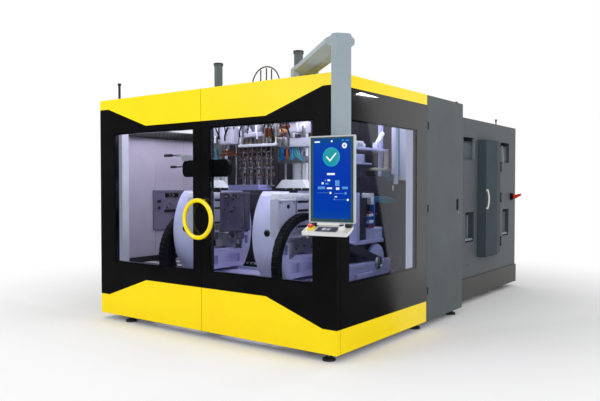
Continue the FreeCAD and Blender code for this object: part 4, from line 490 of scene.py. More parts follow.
# ---- Bed, clamp units and moulds ----
# Ribbed castings in light violet-grey paint run on the bed's ground rails, with machined
# aluminium platens and moulds between their jaws, and black plastic cable chains.
casting_paint = coat("painted_casting", "#C8C6EE", "#B6B4DE", 0.012, 0.35, 0.36, 0.1)
chain_plastic = coat("black_chain_plastic", "#0C0C0E", "#141417", 0.004, 0.2, 0.42, **{"Specular IOR Level": 0.15})
dress(casting_paint, "machine_bed", "clamp_frame_left", "clamp_frame_right")
dress(chain_plastic, "clamp_chain_left", "clamp_chain_right")
dress(bare_metal("machined_aluminium", "#D9DBE0", "#BFC2C9", (0.05, 0.002, 0.05), 0.24), "front_mould_left",
    "front_mould_right", "rear_mould_left", "rear_mould_right")

# ---- Blow units ----
# Machined steel slides with three pins each under white masts that carry the lift drives,
# whose grey tubes stand through the roof.
ground_steel = bare_metal("ground_steel", "#C9CCD2", "#AEB2BA", (0.002, 0.05, 0.05), 0.22)
dress(ground_steel, "blow_slide_left", "blow_slide_right")
dress(parted("mast_and_tube_paint", (2.49, 2.945), "#ECECF2", "#4E5C64", "#23282C"), "blow_masts")
dress(coat("white_machine_paint", "#ECECF2", "#E0E0EA", 0.006, 0.08, 0.32), "pin_guides")
dress(coat("blue_violet_tray_enamel", "#9A9BD4", "#8485C2", 0.005, 0.06, 0.28), "product_tray")

# ---- Extrusion head and extruder ----
# A steel manifold with heater bands and chromed rods under it, the nitrided barrel, and the
# drive behind it in the rear module.
dress(ground_steel, "extrusion_head", "extruder_screw", "feed_hopper")
dress(bare_metal("heater_band_brass", "#C98F5A", "#9A6A48", (0.01, 0.01, 0.002), 0.34), "heater_bands")
dress(bare_metal("chromed_rod", "#E2E4E8", "#C8CBD2", (0.002, 0.002, 0.05), 0.12), "head_rods")
dress(bare_metal("nitrided_steel", "#6A6B70", "#54555A", (0.01, 0.01, 0.01), 0.38), "extruder_barrel")
dress(coat("dark_machine_paint", "#2D2E33", "#37383E", 0.006, 0.15, 0.42), "extruder_drive", "trim_press")
dress(coat("black_conduit", "#1B1C20", "#26272B", 0.003, 0.15, 0.42), "hose_loops")

# ---- Operator arm and panel ----
# An octagonal welded arm in light blue-grey satin paint, the silver monitor with its lit
# screen, and the off-white sloping desk with its controls.
dress(coat("satin_blue_grey_paint", "#93A0A9", "#8A98A1", 0.006, 0.1, 0.34), "arm_column", "support_arm")
dress(coat("silver_monitor_frame", "#C9CCD0", "#BFC3C8", 0.004, 0.05, 0.3, **{"Metallic": 0.3}), "monitor_housing")
dress(coat("off_white_desk_paint", "#D6D7D6", "#CFD0D0", 0.005, 0.08, 0.36), "control_console")
dress(red_moulding, "estop_button")
dress(coat("ivory_key_plastic", "#D9D2BC", "#CFC8B2", 0.002, 0.05, 0.35), "key_switch")

# ---- Perforated floor ----
# Galvanised plate with rows of punched and raised round holes, coloured as pale dots on a near-black
# field: the pale dots are painted highlights on the holes' rims, and the dark field is painted shade.
floor_metal, tree, place = new_material("perforated_plate_painted_light_and_shade")
HOLE_PITCH = 0.06                 # drawn at twice its real pitch of 30 mm, to show
ROW_PITCH = 0.24                  # and its rows wider still, as they are seen nearly edge on
stretch = add(tree, "Mapping", {"Scale": (1 / HOLE_PITCH, 1 / ROW_PITCH, 1)}, {"Vector": place})
cells = add(tree, "TexVoronoi", {"voronoi_dimensions": "2D", "Scale": 1.0, "Randomness": 0.0},
            {"Vector": stretch})
# Pale dots, painted highlights, fade out to a near-black field, painted shade.
rim = add(tree, "ValToRGB", links={0: cells.outputs["Distance"]})
rim.color_ramp.elements[0].color = linear("#F2F0F6")
rim.color_ramp.elements[1].color = linear("#18161B")
for spot, code in ((0.18, "#F2F0F6"), (0.3, "#E0DCE6"), (0.36, "#3A363E"), (0.6, "#18161B")):
    rim.color_ramp.elements.new(spot).color = linear(code)
relief = add(tree, "Bump", {"Strength": 0.4, "Distance": 0.002}, {"Height": cells.outputs["Distance"]})
body = add(tree, "BsdfPrincipled", {"Metallic": 0.0, "Roughness": 0.6, "Specular IOR Level": 0.1},
           {"Base Color": rim, "Normal": relief})
surface(tree, body)
dress(floor_metal, "floor_grating")

# ---- Covers and fittings of the clamp units ----
# Flat bolted cover plates on the castings' front legs, a white machined top edge, slotted
# guard plates over the platens' ends, and round lifting pockets in the curved backs. The slots, a
# seam between cover and guard, and the pockets are black: painted shade inside them.
cover_enamel = coat("pale_violet_cover_enamel", "#B9B8CE", "#ABAAC4", 0.006, 0.1, 0.32)
edge_white = coat("white_enamel_edge", "#F0EFF6", "#E2E1EC", 0.005, 0.06, 0.3)
STATION = 0.583
for side, middle in (("left", -STATION), ("right", STATION)):
    carriage = f"carriage_{side}"
    front = press_in(box((middle + 0.078, -0.588, 1.033), (middle + 0.176, -0.29, 1.408), 0.004, 2),
        facing("x", 1.05, "z"), 0.016, 0.004)
    guard = box((middle + 0.168, -0.3, 1.1), (middle + 0.178, -0.03, 1.408))
    shelf = box((middle + 0.12, -0.56, 1.012), (middle + 0.174, -0.112, 1.036), 0.006, 2)
    piece(f"clamp_cover_{side}", [front, guard, shelf], cover_enamel, carriage)
    top = box((middle + 0.06, -0.56, 1.409), (middle + 0.179, -0.2, 1.468), 0.006, 2)
    edge = box((middle + 0.167, -0.21, 1.409), (middle + 0.179, -0.03, 1.468), 0.004, 2)
    lip = box((middle + 0.15, -0.56, 1.396), (middle + 0.18, -0.3, 1.412), 0.002)
    piece(f"clamp_top_{side}", [top, edge, lip], edge_white, carriage)
    # Black slots, seam strip and pocket are painted shade, not cut openings.
    slots = [box((middle + 0.172, -0.27, z), (middle + 0.181, -0.08, z + 0.026), 0.004, 2)
             for z in (1.366, 1.276, 1.112)]
    slots += [bar((middle + 0.172, -0.42, 1.335), (middle + 0.181, -0.42, 1.335), 0.022, 0.003, 20),
              box((middle + 0.174, -0.292, 1.1), (middle + 0.18, -0.284, 1.4), 0.001)]
    pocket = bar((middle + 0.022, -0.54, 1.07), (middle + 0.022, -0.572, 1.07), 0.03, 0.004, 24)
    pocket = press_in(pocket, facing("-y", -0.57), 0.008, 0.012)
    piece(f"clamp_slots_painted_shade_{side}", slots + [pocket], black_enamel, carriage)
    heads = [bar((middle + 0.168, y, z), (middle + 0.186, y, z), 0.013, 0.003, 6)
        for y, z in ((-0.52, 0.985), (-0.47, 0.955), (-0.415, 0.985), (-0.52, 0.925), (-0.45, 0.915), (-0.545, 1.06),
            (-0.545, 1.38), (-0.325, 1.06), (-0.325, 1.38), (-0.06, 1.13), (-0.06, 1.38))]
    piece(f"clamp_bolts_{side}", heads, zinc_steel, carriage)

# The left chain's open side is closed with overlapping black link plates.
LINK_COUNT, LINK_TURN = 17, 6.5    # plates, and degrees from one to the next
links = []
for i in range(LINK_COUNT):
    link = box((-0.802, 0.3, -0.034), (-0.797, 0.444, 0.034), 0.001)
    links.append(placed(link, (0.0004 * (i % 2), -0.2, 0.76), (98 + LINK_TURN * i, "X")))
piece("chain_link_plates", links, chain_plastic, "carriage_left")

# ---- Painted shade plate of the left unit ----
# A dark plate with water couplings closes the left unit's open side over its platens; its dark colour is painted
# shade for that open side.
# The plate's dark grey-violet is painted shade, standing in for the shade in the unit's open side.
plate = press_in(box((-0.414, -0.186, 1.012), (-0.398, 0.33, 1.467), 0.004, 2), facing("x", -0.399), 0.02, 0.004)
squares = [box((-0.415, 0.11, 0.915), (-0.396, 0.225, 0.99), 0.004),
    box((-0.415, -0.045, 0.912), (-0.4, -0.005, 0.958))]
piece("painted_shade_plate", [plate] + squares, coat("grey_violet_painted_shade_plate", "#6C6880", "#5A566C", 0.005, 0.07, 0.3),
    "carriage_left")
couplings = []
for y, z, r in ((-0.1, 1.41, 0.016), (-0.03, 1.43, 0.018), (0.03, 1.39, 0.014), (0.09, 1.42, 0.016),
        (-0.06, 1.33, 0.013), (0.06, 1.3, 0.015), (-0.12, 1.26, 0.012), (0.0, 1.25, 0.016)):
    couplings.append(bar((-0.4, y, z), (-0.372, y, z), r, 0.003))
couplings += [box((-0.4, 0.2, 1.05), (-0.388, 0.23, 1.42))]
piece("water_couplings", couplings, zinc_steel, "carriage_left")

# ---- Fittings round the extrusion head ----
# Valves, air cylinders, copper bus bars and a white cross beam hang under the roof round the
# head, with rows of heater-band clamps between the rods.
HEAD_Y = -0.26
HANG_TOP = 2.46          # under the roof sheet
block_enamel = coat("white_violet_enamel", "#D9D7EA", "#CBC8DF", 0.006, 0.08, 0.3)
manifold = press_in(box((-0.262, -0.33, 1.996), (-0.059, -0.195, 2.189), 0.006, 2), facing("-y", 2.0, "z"), 0.02,
    0.004)
left_valve = box((-0.64, -0.21, 2.123), (-0.548, -0.07, 2.22), 0.006, 2)
right_valve = press_in(box((0.64, HEAD_Y, 2.092), (0.78, -0.06, 2.205), 0.006, 2), facing("-y", 2.1, "z"), 0.016,
    0.004)
bridge = box((0.066, -0.3, 2.063), (0.31, -0.19, 2.109), 0.005, 2)
shelf = box((0.6, -0.2, 1.945), (0.87, -0.155, 2.035), 0.008, 2)
blocks = [manifold, left_valve, right_valve, bridge, shelf]
for ax, az, bx, bz in ((0.06, 2.2, 0.13, 2.105), (0.268, 2.2, 0.19, 2.105)):
    blocks.append(bar((ax, -0.262, az), (bx, -0.262, bz), 0.022, 0.004, 8))
piece("head_blocks", blocks, block_enamel)

beam = box((-0.04, HEAD_Y - 0.02, 1.958), (0.49, HEAD_Y + 0.02, 1.987), 0.004, 2)
hangers = [box((x, HEAD_Y - 0.01, 1.98), (x + 0.016, HEAD_Y + 0.01, HANG_TOP), 0.002) for x in (-0.03, 0.466)]
rest = box((-0.045, -0.27, 2.44), (0.49, -0.2, 2.47), 0.004)
piece("cross_beam", [beam, rest] + hangers, edge_white)

cylinders = [bar((x, HEAD_Y, z), (x, HEAD_Y, z + high), r, 0.004, 24) for x, z, high, r in (
    (-0.318, 1.943, 0.11, 0.024), (-0.262, 1.95, 0.1, 0.024), (-0.206, 1.946, 0.102, 0.022),
    (0.462, 2.05, 0.136, 0.02), (0.5, 2.06, 0.12, 0.016), (0.53, 1.945, 0.096, 0.026), (0.595, 1.95, 0.09, 0.024),
    (0.395, 2.0, 0.06, 0.018), (0.345, 1.99, 0.06, 0.014), (0.835, 2.04, 0.11, 0.022))]
cylinders += row(bar((0.012, HEAD_Y, 1.985), (0.012, HEAD_Y, 2.063), 0.013, 0.003), 6, (0.058, 0, 0))
carrier = box((-0.345, -0.245, 2.04), (-0.255, -0.195, 2.075))
carrier_right = box((0.44, -0.245, 2.18), (0.64, -0.205, 2.206))
piece("air_cylinders", cylinders + [carrier, carrier_right], zinc_steel)

rods = [bar((x, -0.245, z), (x, -0.245, HANG_TOP), r, 0.003) for x, z, r in (
    (-0.362, 1.998, 0.012), (-0.31, 2.05, 0.013), (0.355, 2.06, 0.01), (0.43, 2.05, 0.008), (0.56, 2.18, 0.01))]
rods += [box((-0.07, -0.25, 1.86), (0.425, -0.235, 1.955), 0.004)]
piece("hanging_rods", rods, black_enamel)

bars = [box((0.328, -0.275, 2.044), (0.352, -0.245, 2.15)), box((0.366, -0.27, 2.05), (0.384, -0.245, 2.154)),
        box((0.398, -0.275, 2.044), (0.428, -0.25, 2.14)),
        bar((0.563, -0.265, 2.152), (0.657, -0.265, 2.152), 0.018, 0.004),
        box((-0.334, -0.262, 1.872), (-0.074, -0.24, 1.9)), box((-0.29, -0.27, 1.905), (-0.12, -0.245, 1.932))]
piece("copper_bars", bars, bare_metal("copper_bus_bar", "#B4714F", "#7C4A3A", (0.01, 0.01, 0.01), 0.34))

bands = []
for z, drop, step in ((1.892, 0.012, 0.05), (1.818, 0.016, 0.053), (1.72, 0.022, 0.056)):
    for i in range(9):
        x = -0.03 + step * i
        bands.append(bar((x - 0.018, HEAD_Y + 0.005, z + drop * (i % 2)),
                (x + 0.018, HEAD_Y + 0.005, z + drop * ((i + 1) % 2)), 0.009, 0.003, 10))
bands += [bar((x, HEAD_Y + 0.01, 1.545), (x, HEAD_Y + 0.01, 1.96), 0.0075, 0.002, 12)
          for x in (0.01, 0.075, 0.14, 0.205, 0.27, 0.335, 0.4)]
bands += [box((-0.045, HEAD_Y, 1.535), (0.43, HEAD_Y + 0.03, 1.552))]
piece("rod_clamps", bands, bare_metal("browned_clamp_steel", "#A49FA8", "#6E6468", (0.004, 0.004, 0.004), 0.34))

# ---- Heater cables and cartridge heaters of the head ----
# Short brown cartridge heaters sit between the rods, and black and pale cables in formed
# conduits run from them and from the valves up to the terminal rail under the roof.
heaters = []
for z, step, first in ((1.925, 0.041, -0.035), (1.855, 0.044, -0.03), (1.77, 0.047, -0.022), (1.668, 0.05, -0.01)):
    heaters += [bar((first + step * i, -0.258, z - 0.026), (first + step * i, -0.258, z + 0.02 - 0.008 * (i % 3)),
            0.012, 0.003, 12) for i in range(10)]
heaters += [box((-0.045, -0.256, z), (0.425, -0.232, z + 0.012), 0.002) for z in (1.895, 1.81, 1.715, 1.615)]
piece("cartridge_heaters", heaters, coat("browned_heater_shell", "#5C4A48", "#3F3433", 0.004, 0.03, 0.4))
rail = box((-0.35, -0.345, 2.262), (0.84, -0.305, 2.292), 0.004, 2)
SOCKET_COUNT, SOCKET_STEP = 18, 0.0655
sockets = row(box((-0.33, -0.352, 2.24), (-0.3, -0.3, 2.272), 0.004), SOCKET_COUNT, (SOCKET_STEP, 0, 0))
piece("terminal_rail", [rail] + sockets, black_enamel)


def pipe(points, radius, sides=2):
    """A formed pipe along a smooth line through a few given points."""
    line = bpy.data.curves.new("pipe_line", "CURVE")
    line.dimensions = "3D"
    line.bevel_depth = radius
    line.bevel_resolution = sides
    line.use_fill_caps = True
    run = line.splines.new("NURBS")
    run.points.add(len(points) - 1)
    for spot, point in zip(run.points, points):
        spot.co = (*point, 1.0)
    run.order_u = 3
    run.use_endpoint_u = True
    made = bpy.data.objects.new("pipe_line", line)
    bpy.context.collection.objects.link(made)
    nothing_selected()
    made.select_set(True)
    bpy.context.view_layer.objects.active = made
    bpy.ops.object.convert(target="MESH")
    return bpy.context.object


black_runs, pale_runs = [], []
for i in range(SOCKET_COUNT):
    start = -0.315 + SOCKET_STEP * i
    end = start + (0.05, -0.036, 0.022, -0.06, 0.01)[i % 5]
    low = (2.06, 2.13, 2.095, 2.03, 2.15, 2.08)[i % 6]
    run = pipe([(start, -0.335, 2.25), (start, -0.35, (2.25 + low) / 2 + 0.03), (end, -0.352, low + 0.05),
            (end, -0.34, low)], 0.0062 if i % 3 else 0.0085)
    (pale_runs if i % 4 == 1 else black_runs).append(run)
piece("cable_conduits_black", black_runs, chain_plastic)
piece("cable_conduits_pale", pale_runs, edge_white)

# ---- Air lines of the right blow unit ----
# Push-in fittings in blue, orange and pale blue on the slide, with formed nylon pipes.
fit_blue = coat("blue_fitting", "#1F6FC4", "#1A5FAE", 0.003, 0.04, 0.28)
fit_cyan = coat("pale_blue_fitting", "#4AA9CC", "#3A97BC", 0.003, 0.04, 0.28)
FIT_Y, FIT_BACK = -0.165, -0.12
blue_parts = [box((0.44, FIT_Y, 1.815), (0.5, FIT_BACK, 1.94), 0.006, 2),
              bar((0.47, FIT_Y, 1.8), (0.47, FIT_Y, 1.825), 0.012, 0.003, 12),
              bar((0.6, FIT_Y, 1.87), (0.6, FIT_Y, 1.95), 0.011, 0.003, 12)]
piece("fittings_blue", blue_parts, fit_blue, "blow_right")
orange_part = box((0.528, FIT_Y, 1.822), (0.556, FIT_BACK, 1.935), 0.005, 2)
piece("fittings_orange", [orange_part], coat("orange_fitting", "#C86432", "#B0542A", 0.003, 0.04, 0.28),
    "blow_right")
pale_parts = [box((0.58, FIT_Y, 1.812), (0.625, FIT_BACK, 1.93), 0.005, 2),
              box((0.47, FIT_Y - 0.006, 1.89), (0.492, FIT_Y + 0.01, 1.925))]
piece("fittings_pale", pale_parts, fit_cyan, "blow_right")

pipes = [pipe([(0.632 + 0.03 * i, FIT_Y, 1.94), (0.65 + 0.03 * i, FIT_Y - 0.01, 1.88), (0.69 + 0.02 * i, FIT_Y, 1.82),
        (0.745, FIT_Y + 0.01, 1.8)], 0.0065) for i in range(3)]
piece("air_pipes_right", pipes, fit_cyan, "blow_right")
pipes = [pipe([(0.43, FIT_Y, 1.935), (0.426, FIT_Y, 1.88), (0.43, FIT_Y, 1.8)], 0.004),
         pipe([(0.655, FIT_Y - 0.006, 1.935), (0.69, FIT_Y - 0.01, 1.87), (0.735, FIT_Y, 1.815)], 0.004)]
piece("lime_pipes_right", pipes, coat("lime_nylon_pipe", "#9DB45A", "#8AA24C", 0.003, 0.04, 0.28),
    "blow_right")
teal_nylon = coat("teal_nylon_pipe", "#3E8FA3", "#347E92", 0.003, 0.04, 0.28)
pipes = [pipe([(-0.64 + 0.05 * i, -0.16, 1.955), (-0.62 + 0.05 * i, -0.175, 1.89 - 0.01 * i),
        (-0.56 + 0.04 * i, -0.18, 1.83), (-0.47 + 0.02 * i, -0.16, 1.8)], 0.008) for i in range(4)]
piece("air_pipes_left", pipes, teal_nylon, "blow_left")

# ---- Take-off unit behind the side window ----
# A painted base with a black swing arm on a spoked hub, a dark column with a service rack in
# front of it, and two cross beams that carry valves and air lines.
TAKE_X = 1.35
base = press_in(box((1.06, -0.216, 0.604), (TAKE_X, 0.603, 0.771), 0.01, 3),
                facing("x", 0.62, "z"), 0.03, 0.006)
foot = box((1.04, -0.122, 0.602), (TAKE_X + 0.03, 0.199, 0.665), 0.006, 2)
cheek = bar((TAKE_X - 0.06, 0.34, 0.79), (TAKE_X - 0.01, 0.34, 0.79), 0.15, 0.012, 40)
rest = box((1.08, -0.226, 0.954), (TAKE_X, 0.463, 0.995), 0.006, 2)
upper = press_in(box((1.12, 0.133, 0.99), (TAKE_X - 0.01, 0.45, 1.11), 0.008, 2), facing("x", 1.0, "z"), 0.02, 0.004)
strip = box((1.18, -0.108, 0.992), (TAKE_X + 0.01, -0.041, 1.475), 0.006, 2)
beams = [box((1.18, -0.116, 1.901), (TAKE_X, 0.55, 1.928), 0.004, 2),
         box((1.24, -0.1, 1.772), (TAKE_X, 0.066, 1.857), 0.006, 2),
         box((1.2, -0.116, 1.757), (TAKE_X, 0.213, 1.774)),
         box((1.22, 0.56, 1.62), (1.262, 0.602, 2.44), 0.004)]
piece("take_off_frame", [base, foot, cheek, rest, upper, strip] + beams, casting_paint)

column = box((1.15, -0.041, 0.78), (TAKE_X - 0.02, 0.128, 1.9), 0.006, 2)
arm = box((1.16, -0.216, 0.772), (TAKE_X - 0.08, 0.42, 0.955), 0.01, 2)
swing = placed(box((-0.34, -0.03, -0.045), (0.34, 0.03, 0.045), 0.012, 3),
               (TAKE_X - 0.03, 0.09, 0.855), (90, "Z"), (18, "Y"))
under = [box((1.19, -0.112, 1.862), (TAKE_X + 0.002, 0.213, 1.9)),
         box((1.19, -0.112, 1.737), (TAKE_X + 0.002, 0.213, 1.757)),
         box((1.22, -0.116, 1.485), (1.33, 0.56, 1.64), 0.01)]
piece("take_off_arm", [column, arm, swing] + under,
    coat("dark_violet_enamel", "#3D394A", "#322F3E", 0.005, 0.08, 0.34))

HUB = Vector((TAKE_X - 0.008, 0.335, 0.745))
wheel = press_in(bar(HUB, HUB + Vector((0.022, 0, 0)), 0.062, 0.005, 40), facing("x", HUB.x + 0.02), 0.01, 0.01)
spokes = []
SPOKES = 6
for i in range(SPOKES):
    angle = 2 * pi * i / SPOKES
    way = Vector((0, cos(angle), sin(angle)))
    middle = HUB + Vector((0.017, 0, 0))
    spokes.append(bar(middle + way * 0.012, middle + way * 0.056, 0.0055, 0.001, 10))
boss = bar(HUB, HUB + Vector((0.03, 0, 0)), 0.018, 0.004, 24)
piece("take_off_hub", [wheel, boss] + spokes, zinc_steel)

white_bits = [box((1.3, 0.041, 1.42), (TAKE_X + 0.004, 0.25, 1.469), 0.006, 2),
              box((1.3, 0.19, 1.35), (TAKE_X + 0.004, 0.25, 1.43), 0.006, 2),
              box((1.29, -0.098, 1.958), (TAKE_X, 0.05, 1.987), 0.006, 2),
              box((1.29, -0.098, 1.925), (TAKE_X, -0.06, 1.975), 0.006, 2),
              box((1.29, 0.036, 1.925), (TAKE_X, 0.084, 1.965), 0.006, 2),
              bar((1.3, 0.36, 1.925), (1.3, 0.36, 1.99), 0.026, 0.006, 20),
              bar((1.3, 0.4, 1.985), (1.3, 0.52, 2.1), 0.024, 0.008, 20),
              box((1.32, 0.15, 1.23), (TAKE_X + 0.006, 0.235, 1.255)),
              box((1.32, 0.15, 1.16), (TAKE_X + 0.006, 0.235, 1.19))]
white_bits += row(bar((1.31, 0.335, 1.488), (1.31, 0.335, 1.545), 0.009, 0.003, 12), 3, (0, 0.2, 0))
piece("take_off_valves", white_bits, edge_white)

beige_beam = box((1.27, 0.203, 1.7), (TAKE_X, 0.639, 1.728), 0.004, 2)
beige_post = box((1.29, 0.56, 1.64), (1.33, 0.6, 1.93), 0.004)
piece("rack_beam", [beige_beam, beige_post], coat("beige_enamel", "#C9C2B0", "#BBB49F", 0.005, 0.06, 0.32))

rack_red = coat("dark_red_connectors", "#8E3A48", "#7C2F3E", 0.003, 0.04, 0.32)
red_parts = [box((1.3, 0.133, 1.118), (TAKE_X + 0.004, 0.25, 1.14)),
             box((1.3, 0.15, 1.262), (TAKE_X + 0.004, 0.22, 1.28)),
             bar((1.33, 0.29, 1.25), (TAKE_X + 0.01, 0.29, 1.25), 0.012, 0.002, 12)]
piece("rack_red", red_parts, rack_red)
rack_blue = [box((1.29, 0.133, 1.145), (TAKE_X + 0.002, 0.215, 1.16)),
             box((1.31, 0.245, 1.13), (TAKE_X + 0.004, 0.275, 1.42), 0.004),
             box((1.3, 0.133, 1.192), (TAKE_X + 0.002, 0.2, 1.228), 0.004)]
piece("rack_blue", rack_blue, fit_blue)

teal = [pipe([(1.315, 0.48 + 0.03 * i, 1.7), (1.33, 0.5 + 0.034 * i, 1.65 - 0.012 * (i % 3)),
        (1.32, 0.56 + 0.03 * i, 1.61 - 0.01 * (i % 2)), (1.3, 0.64 + 0.024 * i, 1.6)], 0.01) for i in range(7)]
teal += [pipe([(1.32, 0.275, 1.415), (1.335, 0.42, 1.43), (1.34, 0.64, 1.405), (1.33, 0.78, 1.37),
        (1.33, 0.64, 1.362), (1.33, 0.42, 1.38), (1.32, 0.275, 1.395)], 0.012, 3),
    pipe([(1.47, 0.548, 1.64), (1.47, 0.545, 2.0), (1.468, 0.55, 2.44)], 0.017, 3),
    pipe([(1.32, 0.275, 1.405), (1.335, 0.45, 1.405), (1.335, 0.76, 1.374)], 0.014, 3)]
piece("air_pipes_side", teal, teal_nylon)

pale_shafts = [box((1.44, 0.455, 1.66), (1.485, 0.5, 2.44), 0.006, 2),
    box((1.44, 0.5, 1.56), (1.48, 0.532, 2.44), 0.004)]
piece("window_shafts", pale_shafts, block_enamel)
red_pipe = pipe([(1.34, 0.56, 0.77), (1.345, 0.7, 0.8), (1.345, 0.84, 0.74), (1.345, 0.85, 0.66), (1.34, 0.74, 0.612),
        (1.33, 0.6, 0.62)], 0.006, 3)
piece("return_pipe", [red_pipe], rack_red)

# ---- Interlock fittings and safety edge of the doors ----
# A louvred cap and two bolts beside the left housing, and a white ruled strip that runs down
# the right door's inner edge below its housing.
grille = [box((-0.4, -0.842, 1.845), (-0.244, -0.768, 1.862)),
          box((-0.33, -0.836, 1.8), (-0.244, -0.768, 1.85))]
grille += row(box((-0.325, -0.84, 1.812), (-0.25, -0.834, 1.816), 0.001), 5, (0, 0, 0.008))
piece("lock_grille", grille, gear_plastic, "door_left")
bolts = [box((-0.592, -0.846, 1.847), (-0.466, -0.826, 1.879), 0.006, 2),
         bar((-0.475, -0.834, 1.862), (-0.35, -0.834, 1.862), 0.007, 0.002, 12),
         bar((-0.49, -0.83, 1.74), (-0.31, -0.83, 1.74), 0.006, 0.002, 12),
         box((-0.496, -0.844, 1.728), (-0.416, -0.824, 1.753), 0.005, 2)]
piece("lock_bolts", bolts, black_enamel, "door_left")
dashes = [box((0.116, -0.868, 1.52), (0.128, -0.864, 1.59), 0.002)]
dashes += [box((0.117, -0.868, low), (0.127, -0.864, high), 0.002) for low, high in (
    (1.425, 1.505), (1.345, 1.41), (1.24, 1.33), (1.16, 1.225), (1.06, 1.14), (0.985, 1.045), (0.9, 0.97))]
piece("safety_edge", dashes, edge_white, "door_right")

# ---- Air scoops of the rear module ----
# Folded grey sheets set in the four wedge-shaped pockets: a back plate, a pale folded lip
# along the far edge, and in the lower pockets a blade and a sloping sill. The pale grey of the
# lips is a painted highlight for the light on the pockets' far walls, and the blades and sills share it.
sheets, lips = [], []
for near, far in ((2.3745, 2.7535), (3.7485, 4.1285)):
    sheets.append(box((1.398, near, 1.8815), (1.408, far, 2.112), 0.003, 2))
    sheets.append(box((1.398, near, 2.108), (1.432, far, 2.114), 0.002))
lips.append(box((1.405, 2.741, 1.8825), (1.4385, 2.7525, 2.166), 0.002))
slanted = placed(box((-0.0025, -0.016, -0.122), (0.0025, 0.016, 0.122), 0.002), (1.427, 3.883, 2.003), (15, "X"),
    (-38, "Z"))
sheets.append(box((1.405, 3.7485, 1.8815), (1.4392, 3.85, 2.112), 0.003, 2))
lips.append(slanted)
for near, far in ((2.4465, 2.7385), (3.8615, 4.1235)):
    lips.append(box((1.38, near + 0.128, 0.85), (1.424, near + 0.136, 1.15), 0.002))
    lips.append(placed(box((-0.018, near + 0.002, -0.002), (0.018, far - 0.002, 0.002), 0.0015), (1.42, 0, 0.832),
            (50, "Y")))
piece("scoop_sheets", sheets, coat("scoop_sheet_coat", "#464E52", "#41494D", 0.005, 0.3, 0.5, 0.12))
# The pale coat of the lips, blades and sills is a painted highlight.
piece("scoop_lips_painted_highlight", lips, coat("folded_edge_painted_highlight", "#838B90", "#788085", 0.004, 0.1, 0.34))

# ---- Slot handle of the tall module's door ----
# A black moulded cup in the door's slot with a grip edge, and a zinc lock barrel below it
# with a pressed key slot.
cup = press_in(box((1.6206, 1.6865, 1.258), (1.6335, 1.7235, 1.383), 0.002, 2),
               facing("x", 1.633), 0.004, 0.008)
grip_edge = box((1.6322, 1.7248, 1.2585), (1.6345, 1.7465, 1.3825), 0.0008)
rim_bars = [box((1.633, 1.6835, z), (1.644, 1.7485, z + 0.003), 0.001) for z in (1.2545, 1.3835)]
piece("slot_cup", [cup, grip_edge] + rim_bars, switch_plastic, "cabinet_door")
barrel = press_in(bar((1.6395, 1.734, 1.225), (1.645, 1.734, 1.225), 0.0135, 0.0015, 24), facing("x", 1.644), 0.009,
    0.002)
piece("door_lock_barrel", [barrel], zinc_steel, "cabinet_door")


# ---- Main switch cover ----
# A black moulded cover on the switch's base plate, with a round collar about the lever's hub.
def sleeve(start, end, radius, wall):
    """A round sleeve between two points."""
    nothing_selected()
    start, end = Vector(start), Vector(end)
    way = end - start
    bpy.ops.mesh.primitive_cylinder_add(vertices=32, radius=radius, depth=way.length, end_fill_type="NOTHING",
        location=(start + end) / 2, rotation=way.to_track_quat("Z", "Y").to_euler())
    made = bpy.context.object
    bpy.ops.object.transform_apply(location=True, rotation=True, scale=True)
    thick = made.modifiers.new("wall", "SOLIDIFY")
    thick.thickness, thick.offset = wall, -1.0
    bpy.ops.object.modifier_apply(modifier=thick.name)
    return made


plate = press_in(box((1.4402, 4.1885, 1.3215), (1.4652, 4.2915, 1.4245), 0.004, 2), facing("x", 1.465), 0.0375, 0.005)
collar_sleeve = sleeve((1.4645, 4.24, 1.373), (1.4798, 4.24, 1.373), 0.0372, 0.0245)
cover_screws = [bar((1.4645, y, z), (1.4668, y, z), 0.0045, 0.0008, 10) for y in (4.199, 4.281)
    for z in (1.332, 1.414)]
piece("main_switch_cover", [plate, collar_sleeve] + cover_screws, switch_plastic)

# ---- Covers, louvres and seams of the modules ----
# Screwed sheet covers in the same grey coat close the rear module's back, left side and roof
# and the tall module's left side. The gaps between them are the seams.
covers, louvres, catches = [], [], []


def louvre_at(x, y, z, along, out):
    """One pressed louvre, 200 mm long, standing 9 mm out of a sheet."""
    made = box((-0.1, -0.0005, -0.007), (0.1, 0.009, 0.007), 0.0015)
    select_faces(made, lambda centre, normal: normal.z > 0.9)
    bpy.ops.transform.translate(value=(0, -0.006, 0))
    mode("OBJECT")
    turn = Matrix(((along[0], out[0], 0, x), (along[1], out[1], 0, y), (0, 0, 1, z), (0, 0, 0, 1)))
    made.data.transform(turn)
    if turn.determinant() < 0:
        made.data.flip_normals()
    return made


COVER_LOW, COVER_HIGH = 0.35, 2.395
CATCH_ROWS = (0.52, 1.37, 2.22)
INSET = 0.05             # from a cover's edge to its catches
LOUVRE_STEP = (0, 0, 0.028)
for x0, x1 in ((-1.425, -0.485), (-0.475, 0.475), (0.485, 1.425)):    # back
    covers.append(box((x0, 4.4196, COVER_LOW), (x1, 4.424, COVER_HIGH), 0.0015))
    middle = (x0 + x1) / 2
    for x in (x0 + INSET, x1 - INSET):
        catches += [bar((x, 4.423, z), (x, 4.43, z), 0.012, 0.002) for z in CATCH_ROWS]
    for z in (0.55, 1.95):
        for x in (middle - 0.11, middle + 0.11):
            louvres += row(louvre_at(x, 4.4236, z, (-1, 0), (0, 1)), 10, LOUVRE_STEP)
for y0, y1 in ((1.88, 2.7), (2.71, 3.56), (3.57, 4.405)):             # rear module, left
    covers.append(box((-1.444, y0, COVER_LOW), (-1.4396, y1, COVER_HIGH), 0.0015))
    for y in (y0 + INSET, y1 - INSET):
        catches += [bar((-1.443, y, z), (-1.45, y, z), 0.012, 0.002) for z in CATCH_ROWS]
    louvres += row(louvre_at(-1.4436, (y0 + y1) / 2, 0.6, (0, 1), (-1, 0)), 12, LOUVRE_STEP)
